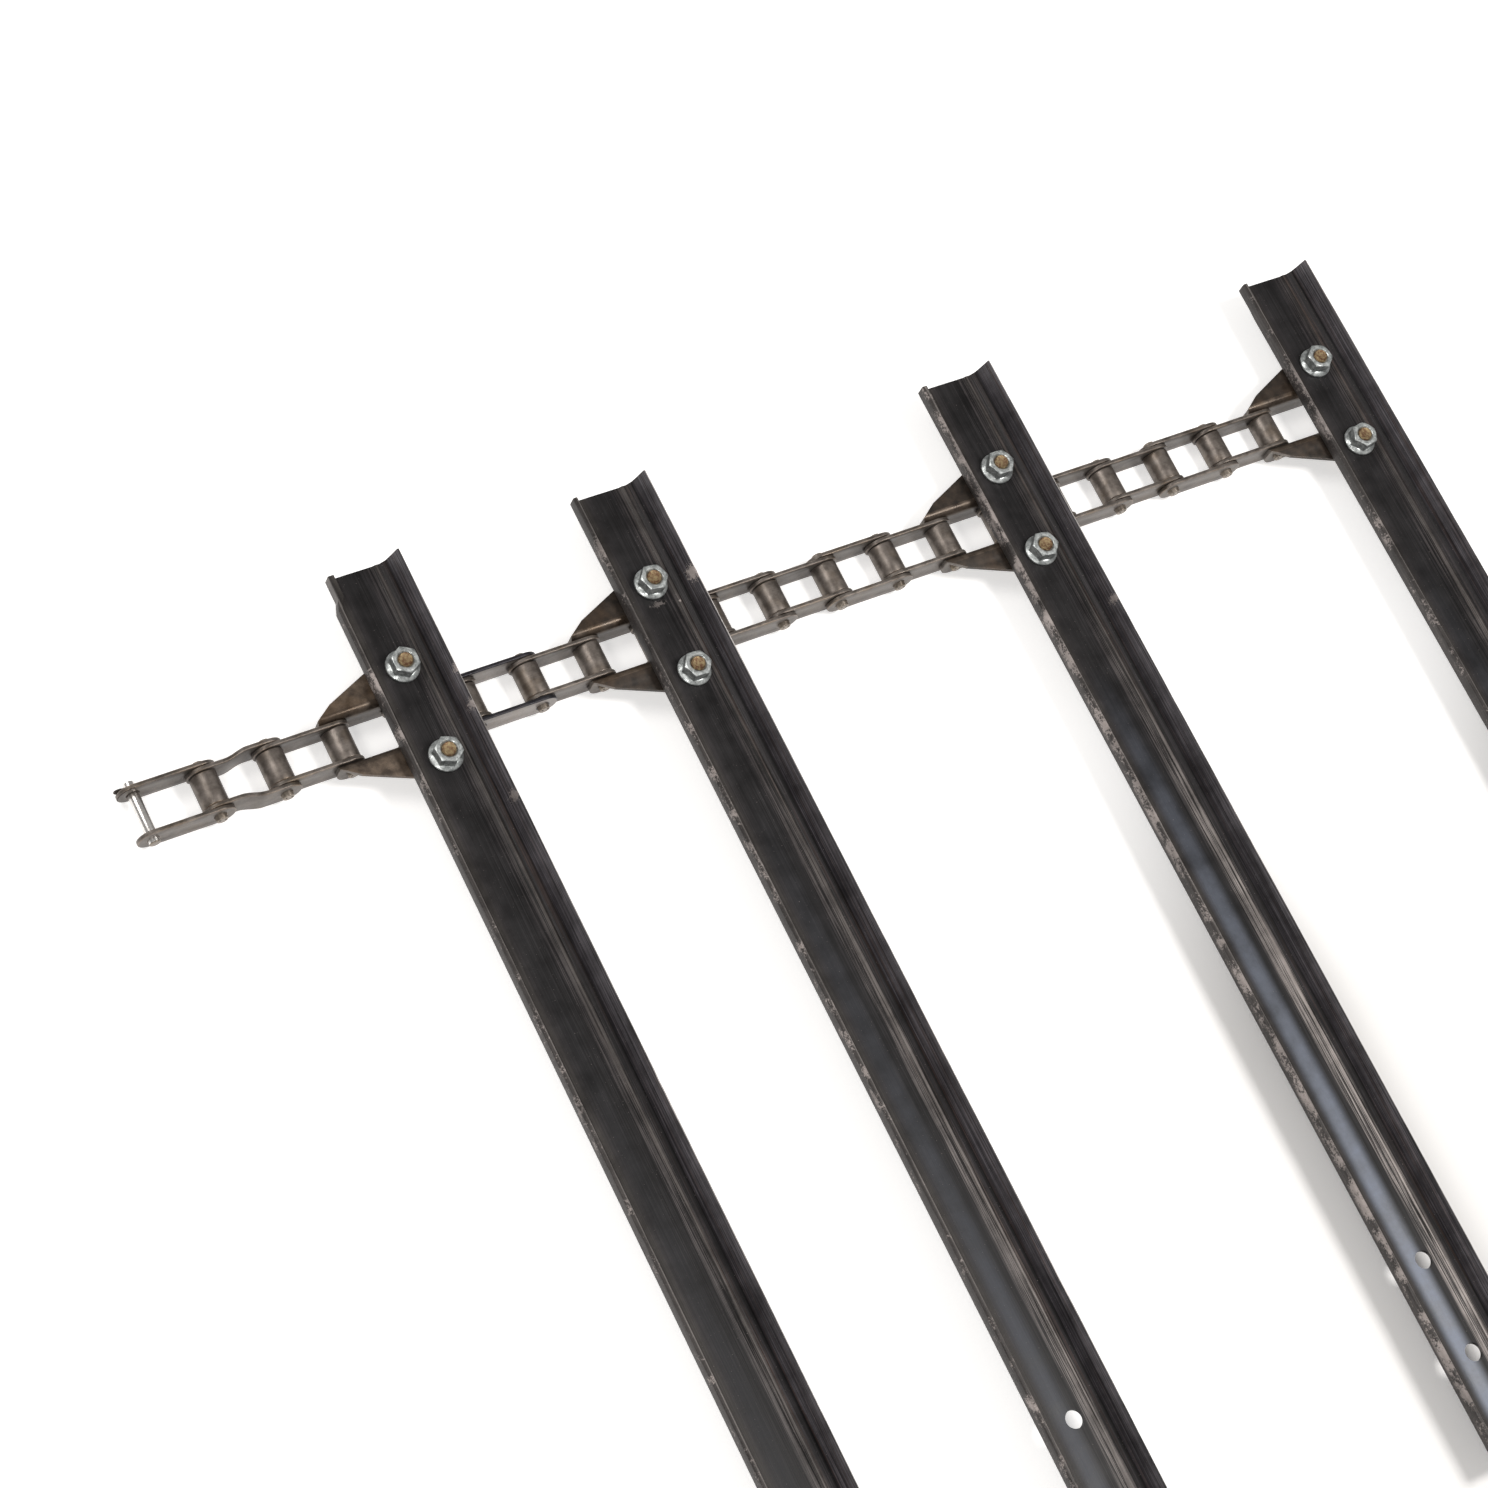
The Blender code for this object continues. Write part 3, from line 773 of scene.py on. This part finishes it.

# what each slat has been through, and the light painted on it: how far in millimetres the end of its lip is bent in,
# how much of the lip is flaked there and how much further down, how strong its painted bluish sheen grows, and how
# bright its scratch streaks grow with painted reflection
histories = {
    1: {"sheared": 2.8, "flaked": 0.3, "flaked_on": 0.38, "painted_sheen": 0.04, "scratches_and_sheen": 0.2, "seed": 3.1},
    2: {"sheared": 0.0, "flaked": 0.4, "flaked_on": 0.42, "painted_sheen": 0.2, "scratches_and_sheen": 0.45, "seed": 17.7},
    3: {"sheared": -0.8, "flaked": 0.46, "flaked_on": 0.52, "painted_sheen": 1.0, "scratches_and_sheen": 0.95, "seed": 41.3},
    4: {"sheared": 0.5, "flaked": 0.4, "flaked_on": 0.42, "painted_sheen": 0.2, "scratches_and_sheen": 0.4, "seed": 63.9},
}
# scuffs in millimetres from the middle between the bolts: (across, along, half width, half length, strength)
scuffs = {
    1: [
        (-20.9, 24, 1.7, 7, 0.95),
        (-21, -11, 1.7, 4.5, 0.8),
        (23.8, 13.5, 1, 3, 0.7),
        (23.2, -10, 1.5, 3.2, 0.8),
        (22.5, -70, 1.8, 3, 0.6),
    ],
    2: [(22.6, 24, 1.9, 4.5, 0.95), (-1.5, 16.5, 4.5, 1.6, 0.35), (12.2, 14, 0.8, 0.8, 0.9), (-20.8, 60, 1.7, 6, 0.5)],
    3: [
        (-20.8, -2, 1.6, 6, 0.8),
        (-20.5, -16, 1.8, 4, 0.85),
        (-20.3, -74, 2.2, 5, 0.9),
        (-20.6, 40, 1.4, 20, 0.5),
        (22.6, -79, 1.5, 2.6, 0.7),
    ],
    4: [(12, 30, 1.2, 1.2, 0.7), (-20.6, 25, 1.8, 12, 0.5), (-20.6, -10, 1.8, 9, 0.5)],
}


def mill_scale(number, at):
    """Black oxide from hot rolling: nearly no colour of its own, so what shows is its soft sheen and its wear, with
    painted highlights, painted shade and a painted sheen mixed into its colour.
    """
    history = histories[number]
    made, tree, shader = finish(f"mill_scale_{number}", 0, 0.42)
    place = add(tree, "ShaderNodeTexCoord").outputs["Object"]
    # millimetres across and along the slat, from the middle between its bolts
    local = add(
        tree,
        "ShaderNodeMapping",
        [("Vector", place), ("Location", tuple(-1000 * c for c in at)), ("Scale", (1000, 1000, 1000))],
    ).outputs[0]
    streak_space = add(
        tree, "ShaderNodeMapping", [("Vector", local), ("Scale", (1, 0.008, 1)), ("Location", (history["seed"], 0, 0))]
    ).outputs[0]
    streaks = add(
        tree, "ShaderNodeTexNoise", [("Vector", streak_space), ("Scale", 0.65), ("Detail", 4), ("Roughness", 0.6)]
    )
    fine = add(
        tree, "ShaderNodeTexNoise", [("Vector", streak_space), ("Scale", 2.6), ("Detail", 3), ("Roughness", 0.6)]
    )
    own = add(tree, "ShaderNodeMapping", [("Vector", local), ("Location", (history["seed"] * 7, 0, 0))]).outputs[0]
    clouds = add(tree, "ShaderNodeTexNoise", [("Vector", own), ("Scale", 1 / 20), ("Detail", 5), ("Roughness", 0.62)])
    crumbs = add(tree, "ShaderNodeTexNoise", [("Vector", own), ("Scale", 1 / 1.6), ("Detail", 6), ("Roughness", 0.8)])
    split = add(tree, "ShaderNodeSeparateXYZ", [("Vector", local)])
    x, y, z = (split.outputs[i] for i in range(3))

    # the tone across the section, its bands wandering a little with the streaks
    wander = add(tree, "ShaderNodeMath", [(0, streaks.outputs["Fac"]), (1, 1.6), (2, -0.8)], operation="MULTIPLY_ADD")
    across = add(tree, "ShaderNodeMath", [(0, x), (1, wander.outputs[0])], operation="ADD")
    left, right = SLAT_LEFT / MM, SLAT_RIGHT / MM
    share = add(tree, "ShaderNodeMapRange", [("Value", across.outputs[0]), ("From Min", left), ("From Max", right)])
    bands = add(tree, "ShaderNodeValToRGB", [("Fac", share.outputs[0])])
    # painted light among the stops: the light stop at -20.0 along the lip's top and those at 24.5 and 25.0 along the
    # crest are painted highlights; the dark stop at 18.2 in the crease is painted shade
    stops = [
        (-22.5, "#373433"),
        (-20.7, "#3b3837"),
        (-20.0, "#6b6765"),
        (-19.2, "#242221"),
        (-16.5, "#3a3735"),
        (-12.5, "#2a2829"),
        (-8.0, "#201f20"),
        (3.0, "#1c1b1c"),
        (8.0, "#1b191b"),
        (10.6, "#171617"),
        (12.4, "#2f2c2b"),
        (14.0, "#1d1b1c"),
        (16.4, "#242224"),
        (18.2, "#0f0e0f"),
        (19.2, "#302e31"),
        (21.5, "#3e3c3f"),
        (23.2, "#464447"),
        (23.9, "#272527"),
        (24.5, "#a09d9c"),
        (25.0, "#a09d9c"),
    ]
    ramp = bands.color_ramp
    for place_across, code in stops:
        where = (place_across - left) / (right - left)
        stop = ramp.elements.new(min(where, 0.999)) if 0 < where else ramp.elements[0]
        stop.color = linear(code)
    ramp.elements.remove(ramp.elements[-1])

    shade = add(
        tree,
        "ShaderNodeMapRange",
        [("Value", streaks.outputs["Fac"]), ("From Min", 0.3), ("From Max", 0.7), ("To Min", 0.45), ("To Max", 1.75)],
    )
    fine_shade = add(
        tree,
        "ShaderNodeMapRange",
        [("Value", fine.outputs["Fac"]), ("From Min", 0.3), ("From Max", 0.7), ("To Min", 0.4), ("To Max", 1.8)],
    )
    both = add(tree, "ShaderNodeMath", [(0, shade.outputs[0]), (1, fine_shade.outputs[0])], operation="MULTIPLY")
    drawn = add(
        tree, "ShaderNodeMapRange", [("Value", x), ("From Min", -6), ("From Max", 4), ("To Min", 0.3), ("To Max", 1)]
    )
    streaked = add(
        tree,
        "ShaderNodeMix",
        [("Factor", drawn.outputs[0]), (6, bands.outputs["Color"]), (7, both.outputs[0])],
        data_type="RGBA",
        blend_type="MULTIPLY",
    )

    # two soft-edged bands along the slat: the flat of the web, and the bead with the strip beside it
    soft_bands = []
    for rise, fall in (((-15, -8), (-5, 2.5)), ((4, 8), (12.8, 16))):
        sides = [
            add(
                tree,
                "ShaderNodeMapRange",
                [("Value", x), ("From Min", start), ("From Max", end), ("To Min", 1 - inside), ("To Max", inside)],
                interpolation_type="SMOOTHSTEP",
            ).outputs[0]
            for (start, end), inside in ((rise, 1), (fall, 0))
        ]
        soft_bands.append(add(tree, "ShaderNodeMath", [(0, sides[0]), (1, sides[1])], operation="MULTIPLY").outputs[0])
    web, strip = soft_bands

    # painted sheen: a bluish reflection painted into the web's colour, stronger away from the chain; the same mask
    # raises the web's specular
    down = add(
        tree,
        "ShaderNodeMapRange",
        [("Value", y), ("From Min", -110), ("From Max", -520), ("To Max", history["painted_sheen"])],
    )
    tint_mask = add(tree, "ShaderNodeMath", [(0, web), (1, down.outputs[0])], operation="MULTIPLY")
    blued = add(
        tree,
        "ShaderNodeMix",
        [("Factor", tint_mask.outputs[0]), (6, streaked.outputs[2]), (7, linear("#5f6777"))],
        data_type="RGBA",
    )

    # the bead and the strip beside it, scratched through to grey steel in fine streaks, with a line along the bead's
    # top; these grow brighter away from the chain as a painted reflection, most on the third slat
    lengthwise = add(
        tree,
        "ShaderNodeMapRange",
        [("Value", y), ("From Min", -60), ("From Max", -420), ("To Min", 0.08), ("To Max", history["scratches_and_sheen"])],
    )
    amount = add(tree, "ShaderNodeMath", [(0, strip), (1, lengthwise.outputs[0])], operation="MULTIPLY")
    thread = add(tree, "ShaderNodeMath", [(0, fine.outputs["Fac"]), (1, streaks.outputs["Fac"])], operation="ADD")
    threads = add(
        tree,
        "ShaderNodeMapRange",
        [("Value", thread.outputs[0]), ("From Min", 0.94), ("From Max", 1.1), ("To Min", 0.05)],
    )
    off_bead = add(tree, "ShaderNodeMath", [(0, x), (1, 12.7), (2, 0.5)], operation="COMPARE")
    worn = add(tree, "ShaderNodeMath", [(0, off_bead.outputs[0]), (1, threads.outputs[0])], operation="MAXIMUM")
    scratch_and_sheen_share = add(tree, "ShaderNodeMath", [(0, amount.outputs[0]), (1, worn.outputs[0])], operation="MULTIPLY")
    scratches_and_sheen = add(
        tree,
        "ShaderNodeMix",
        [("Factor", scratch_and_sheen_share.outputs[0]), (6, blued.outputs[2]), (7, linear("#a09996"))],
        data_type="RGBA",
    )

    # rust-brown in the bead and the flange, in long thin patches
    rust_noise = add(
        tree,
        "ShaderNodeTexNoise",
        [("Vector", streak_space), ("Scale", 0.7), ("Detail", 5), ("Roughness", 0.6), ("Distortion", 0.3)],
    )
    bead = add(
        tree,
        "ShaderNodeMapRange",
        [("Value", x), ("From Min", 8.5), ("From Max", 12.5), ("To Max", 1)],
        interpolation_type="SMOOTHSTEP",
    )
    rust_part = add(
        tree,
        "ShaderNodeMapRange",
        [("Value", rust_noise.outputs["Fac"]), ("From Min", 0.54), ("From Max", 0.7), ("To Max", 0.4)],
    )
    rust = add(tree, "ShaderNodeMath", [(0, rust_part.outputs[0]), (1, bead.outputs[0])], operation="MULTIPLY")
    rusted = add(
        tree,
        "ShaderNodeMix",
        [("Factor", rust.outputs[0]), (6, scratches_and_sheen.outputs[2]), (7, linear("#4d3a32"))],
        data_type="RGBA",
    )

    # scale flaked off the lip, in crumbs a few millimetres long
    on_lip = add(tree, "ShaderNodeMapRange", [("Value", x), ("From Min", -17.2), ("From Max", -19.6), ("To Max", 1)])
    high = add(tree, "ShaderNodeMapRange", [("Value", z), ("From Min", 2.5), ("From Max", 5.5), ("To Max", 1)])
    lip = add(tree, "ShaderNodeMath", [(0, on_lip.outputs[0]), (1, high.outputs[0])], operation="MULTIPLY")
    patchy = add(tree, "ShaderNodeTexNoise", [("Vector", own), ("Scale", 1 / 13), ("Detail", 3)])
    ends = add(
        tree,
        "ShaderNodeMapRange",
        [
            ("Value", y),
            ("From Min", -60),
            ("From Max", 40),
            ("To Min", history["flaked_on"]),
            ("To Max", history["flaked"]),
        ],
    )
    often = add(tree, "ShaderNodeMath", [(0, patchy.outputs["Fac"]), (1, 0.9), (2, -0.45)], operation="MULTIPLY_ADD")
    limit = add(tree, "ShaderNodeMath", [(0, ends.outputs[0]), (1, often.outputs[0])], operation="ADD")
    edge_of = add(tree, "ShaderNodeMath", [(0, crumbs.outputs["Fac"]), (1, limit.outputs[0])], operation="ADD")
    flakes = add(
        tree,
        "ShaderNodeMapRange",
        [("Value", edge_of.outputs[0]), ("From Min", 1.0), ("From Max", 1.07), ("To Max", 0.8)],
    )
    bare = add(tree, "ShaderNodeMath", [(0, flakes.outputs[0]), (1, lip.outputs[0])], operation="MULTIPLY").outputs[0]

    # pinholes in the scale, half a millimetre across
    pits = add(tree, "ShaderNodeTexNoise", [("Vector", own), ("Scale", 1.1), ("Detail", 1)])
    pinholes = add(
        tree,
        "ShaderNodeMapRange",
        [("Value", pits.outputs["Fac"]), ("From Min", 0.73), ("From Max", 0.8), ("To Max", 0.35)],
    )
    bare = add(tree, "ShaderNodeMath", [(0, bare), (1, pinholes.outputs[0])], operation="MAXIMUM").outputs[0]

    # scuffs, each an oval with crumbly edges
    for cx, cy, wide, long, strength in scuffs[number]:
        spot = add(
            tree,
            "ShaderNodeMapping",
            [("Vector", local), ("Location", (-cx / wide, -cy / long, 0)), ("Scale", (1 / wide, 1 / long, 0))],
        )
        far = add(tree, "ShaderNodeVectorMath", [(0, spot.outputs[0])], operation="LENGTH")
        ragged = add(
            tree, "ShaderNodeMath", [(0, crumbs.outputs["Fac"]), (1, 6), (2, -3)], operation="MULTIPLY_ADD"
        )
        reach = add(tree, "ShaderNodeMath", [(0, far.outputs["Value"]), (1, ragged.outputs[0])], operation="ADD")
        oval = add(
            tree,
            "ShaderNodeMapRange",
            [("Value", reach.outputs[0]), ("From Min", 1.0), ("From Max", 0.8), ("To Max", strength)],
        )
        bare = add(tree, "ShaderNodeMath", [(0, bare), (1, oval.outputs[0])], operation="MAXIMUM").outputs[0]
    chipped = add(
        tree, "ShaderNodeMix", [("Factor", bare), (6, rusted.outputs[2]), (7, linear("#968e8b"))], data_type="RGBA"
    )
    cloudy = add(
        tree,
        "ShaderNodeMapRange",
        [("Value", clouds.outputs["Fac"]), ("From Min", 0.3), ("From Max", 0.7), ("To Min", 0.65), ("To Max", 1.5)],
    )
    toned = add(
        tree,
        "ShaderNodeMix",
        [("Factor", 1.0), (6, chipped.outputs[2]), (7, cloudy.outputs[0])],
        data_type="RGBA",
        blend_type="MULTIPLY",
    )
    tree.links.new(toned.outputs[2], shader.inputs["Base Color"])
    gloss = add(tree, "ShaderNodeMath", [(0, tint_mask.outputs[0]), (1, 0.5), (2, 0.17)], operation="MULTIPLY_ADD")
    tree.links.new(gloss.outputs[0], shader.inputs["Specular IOR Level"])
    shine = add(
        tree,
        "ShaderNodeMapRange",
        [("Value", clouds.outputs["Fac"]), ("From Min", 0.3), ("From Max", 0.7), ("To Min", 0.34), ("To Max", 0.48)],
    )
    dull = add(tree, "ShaderNodeMath", [(0, bare), (1, 0.22), (2, shine.outputs[0])], operation="MULTIPLY_ADD")
    tree.links.new(dull.outputs[0], shader.inputs["Roughness"])
    relief = add(
        tree,
        "ShaderNodeMath",
        [(0, crumbs.outputs["Fac"]), (1, 0.35), (2, fine.outputs["Fac"])], operation="MULTIPLY_ADD",
    )
    deeper = add(tree, "ShaderNodeMath", [(0, bare), (1, -0.9), (2, relief.outputs[0])], operation="MULTIPLY_ADD")
    bumps = add(tree, "ShaderNodeBump", [("Strength", 0.3), ("Distance", 0.2 * MM), ("Height", deeper.outputs[0])])
    tree.links.new(bumps.outputs["Normal"], shader.inputs["Normal"])
    return made


for number in range(1, 5):
    low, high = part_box(f"slat_{number}")
    at = Vector((high.x - SLAT_RIGHT, pins[0].y, SEAT))
    history = histories[number]
    piece = put(slat, f"fine_slat_{number}", at, f"slat_{number}")
    # the lip has been knocked about: uneven along its outer edge, and stepped where it was sheared
    for vertex in piece.data.vertices:
        x, y, z = vertex.co - at
        if x < SLAT_LEFT + 3.3 * MM and y > OVERHANG - 18 * MM and history["sheared"] > 0:
            vertex.co.x += history["sheared"] * MM * (1 if x < SLAT_LEFT + 1.3 * MM else 1.4)
        if x < SLAT_LEFT + 3.3 * MM and z > 2 * MM:
            large = noise.noise(Vector((y / (5 * MM), history["seed"], 0)))
            small = noise.noise(Vector((y / (1.8 * MM), 0, history["seed"])))
            depth = max(0, large + 0.5 * small - 0.15) * 0.9 * MM
            if x < SLAT_LEFT + 0.5 * MM:
                vertex.co.x += depth
            elif z > LIP_HEIGHT - 0.8 * MM:
                vertex.co.z -= depth * 0.6
            if y > OVERHANG - 20 * MM and history["sheared"] < 0 and x > SLAT_LEFT + 1.5 * MM:
                vertex.co.x -= history["sheared"] * MM
        elif z > CREST_HEIGHT - 2 * MM:
            wear = noise.noise(Vector((y / (9 * MM), 5, history["seed"])))
            vertex.co.z -= max(0, wear - 0.2) * 0.5 * MM
    for row in (0, OVERHANG * 2 - SLAT_LENGTH):
        for side in (1, -1):
            drill_down(piece, BOLT_HOLE, 30 * MM, at + Vector((0, row + side * BOLT_Y, 0)))
    piece.data.materials.clear()
    piece.data.materials.append(mill_scale(number, at))
    smooth(piece, 32)
bpy.data.objects.remove(slat)

# ---------------------------------------------------------------------------------------------------------------
# Bolts: M10, yellow passivated zinc, pushed up from below through tab and slat, so that only the cut thread end
# shows from above. Nuts: hexagon flange nuts in bright zinc, each stopped at its own angle by the wrench.
# ---------------------------------------------------------------------------------------------------------------

HEX_NUT = 15.4 * MM  # across the flats
HEX_HEAD = 16.0 * MM
FLANGE_RADIUS = 10.4 * MM
BOLT_RADIUS = 4.3 * MM  # at the thread's root, where it shows
nut_low, nut_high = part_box("nut_1_far")
bolt_low, bolt_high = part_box("bolt_1_far")


def plating(name, dark, light, roughness, grain, spread=(0.4, 0.6)):
    """Electroplated zinc: a bright metal skin with a cloudy passivation film a few millimetres across."""
    made, tree, shader = finish(name, 0.7, roughness)
    place = add(tree, "ShaderNodeTexCoord").outputs["Object"]
    clouds = add(
        tree, "ShaderNodeTexNoise", [("Vector", place), ("Scale", 1 / (grain * MM)), ("Detail", 4), ("Roughness", 0.6)]
    )
    tone = add(
        tree, "ShaderNodeMapRange", [("Value", clouds.outputs["Fac"]), ("From Min", spread[0]), ("From Max", spread[1])]
    )
    skin = add(
        tree, "ShaderNodeMix", [("Factor", tone.outputs[0]), (6, linear(dark)), (7, linear(light))], data_type="RGBA"
    )
    tree.links.new(skin.outputs[2], shader.inputs["Base Color"])
    wear = add(tree, "ShaderNodeTexNoise", [("Vector", place), ("Scale", 1 / (0.7 * MM)), ("Detail", 3)])
    dull = add(
        tree,
        "ShaderNodeMapRange",
        [
            ("Value", wear.outputs["Fac"]),
            ("From Min", 0.3),
            ("From Max", 0.7),
            ("To Min", roughness - 0.06),
            ("To Max", roughness + 0.12),
        ],
    )
    tree.links.new(dull.outputs[0], shader.inputs["Roughness"])
    skin_bump = add(
        tree, "ShaderNodeBump", [("Strength", 0.2), ("Distance", 0.06 * MM), ("Height", wear.outputs["Fac"])]
    )
    tree.links.new(skin_bump.outputs["Normal"], shader.inputs["Normal"])
    return made


bright_zinc = plating("bright_zinc", "#989d9d", "#d0d5d5", 0.31, 3)
yellow_zinc = plating("yellow_zinc", "#70523d", "#a2906e", 0.5, 1.6)


def hexagon_block(across, low, high, chamfer_low, chamfer_high):
    """A hexagon bar, its corners turned off to a cone at the ends that ask for it."""
    corner = across / math.sqrt(3)  # from the middle
    centre = (0, 0, (low + high) / 2)
    bpy.ops.mesh.primitive_cylinder_add(vertices=6, radius=corner, depth=high - low, location=centre)
    piece = bpy.context.object
    settle(piece)
    bpy.ops.mesh.primitive_cylinder_add(
        vertices=96, radius=corner + 0.05 * MM, depth=high - low + 0.02 * MM, location=centre
    )
    turned = bpy.context.object
    settle(turned)
    face = across / 2 * 0.97  # the radius left at a chamfered end
    drop = (corner - face) * math.tan(math.radians(30))
    for wanted, normal in ((chamfer_high, 1), (chamfer_low, -1)):
        if wanted:
            end = high if normal > 0 else low
            pick(turned, lambda f: f.normal.z * normal > 0.9, "polygons")
            bpy.ops.transform.translate(value=(0, 0, -normal * drop))
            bpy.ops.mesh.extrude_region_move(TRANSFORM_OT_translate={"value": (0, 0, normal * drop)})
            scale = face / (corner + 0.05 * MM)
            bpy.ops.transform.resize(value=(scale, scale, 1), center_override=(0, 0, end))
            bpy.ops.object.mode_set(mode="OBJECT")
    cut(piece, turned, "INTERSECT")
    return piece


seat = nut_low.z
top = nut_high.z
nut_body = hexagon_block(HEX_NUT, seat + 1.2 * MM, top, False, True)
bpy.ops.mesh.primitive_cylinder_add(
    vertices=64, radius=FLANGE_RADIUS, depth=1.3 * MM, location=(0, 0, seat + 0.65 * MM)
)
flange = bpy.context.object
settle(flange)
pick(flange, lambda f: f.normal.z > 0.9, "polygons")
bpy.ops.mesh.extrude_region_move(TRANSFORM_OT_translate={"value": (0, 0, 1.5 * MM)})
bpy.ops.transform.resize(value=(0.76, 0.76, 1), center_override=(0, 0, seat))
bpy.ops.object.mode_set(mode="OBJECT")
round_edges(flange, 0.35 * MM, 3, angle=25)
nut_body.data.materials.append(bright_zinc)
flange.data.materials.append(bright_zinc)
cut(nut_body, flange, "UNION")
drill_down(nut_body, 4.45 * MM, 40 * MM, (0, 0, seat), 48)
bpy.ops.mesh.primitive_cone_add(
    vertices=48, radius1=4.2 * MM, radius2=5.9 * MM, depth=1.6 * MM, location=(0, 0, top - 0.5 * MM)
)
cut(nut_body, bpy.context.object)
round_edges(nut_body, 0.22 * MM, 2, angle=28)
nut = nut_body
smooth(nut, 30)

under = bolt_low.z
bolt = hexagon_block(HEX_HEAD, under, under + 6.4 * MM, True, False)
bolt.data.materials.append(yellow_zinc)
shank_end = bolt_high.z
bpy.ops.mesh.primitive_cylinder_add(
    vertices=40, radius=BOLT_RADIUS, depth=shank_end - under - 6 * MM, location=(0, 0, (shank_end + under + 6 * MM) / 2)
)
shank = bpy.context.object
settle(shank)
# the last turns of the thread, 1.5 mm apart, then the chamfered, roughly sheared end
pick(shank, lambda f: f.normal.z > 0.9, "polygons")
bpy.ops.transform.translate(value=(0, 0, -3.6 * MM))
flank, root, crest = (0.55, 0.9), (0.15, 1.0), (0.6, 1 / 0.9)  # how far up in millimetres, and to what width
for rise, scale in (flank, root, crest, (0.2, 1.0), flank, root, crest, (0.8, 0.84)):
    bpy.ops.mesh.extrude_region_move(TRANSFORM_OT_translate={"value": (0, 0, rise * MM)})
    bpy.ops.transform.resize(value=(scale, scale, 1), center_override=(0, 0, 0))
bpy.ops.mesh.inset(thickness=1.0 * MM)
bpy.ops.transform.translate(value=(0, 0, -0.25 * MM))
bpy.ops.object.mode_set(mode="OBJECT")
shank.data.materials.append(yellow_zinc)
round_edges(bolt, 0.25 * MM, 2, angle=28)
bolt = joined(bolt, shank)
smooth(bolt, 30)

# the angle in degrees at which each slat's nuts stopped, at the far and at the near side of the chain
turns = {1: (0, 8), 2: (22, 27), 3: (28, 20), 4: (12, 41)}
for number, side, turn in [(n, side, turn) for n, pair in turns.items() for side, turn in zip(("far", "near"), pair)]:
    for master, word, slot in ((nut, "nut", "bright_zinc"), (bolt, "bolt", "yellow_zinc")):
        node = f"{word}_{number}_{side}"
        at = middle(node)
        turned = master.copy()
        turned.data = master.data.copy()
        turned.data.transform(Matrix.Rotation(math.radians(turn), 4, "Z"))
        piece = put(turned, f"fine_{node}", Vector((at.x, at.y, 0)), node)
        bpy.data.objects.remove(turned)
bpy.data.objects.remove(nut)
bpy.data.objects.remove(bolt)
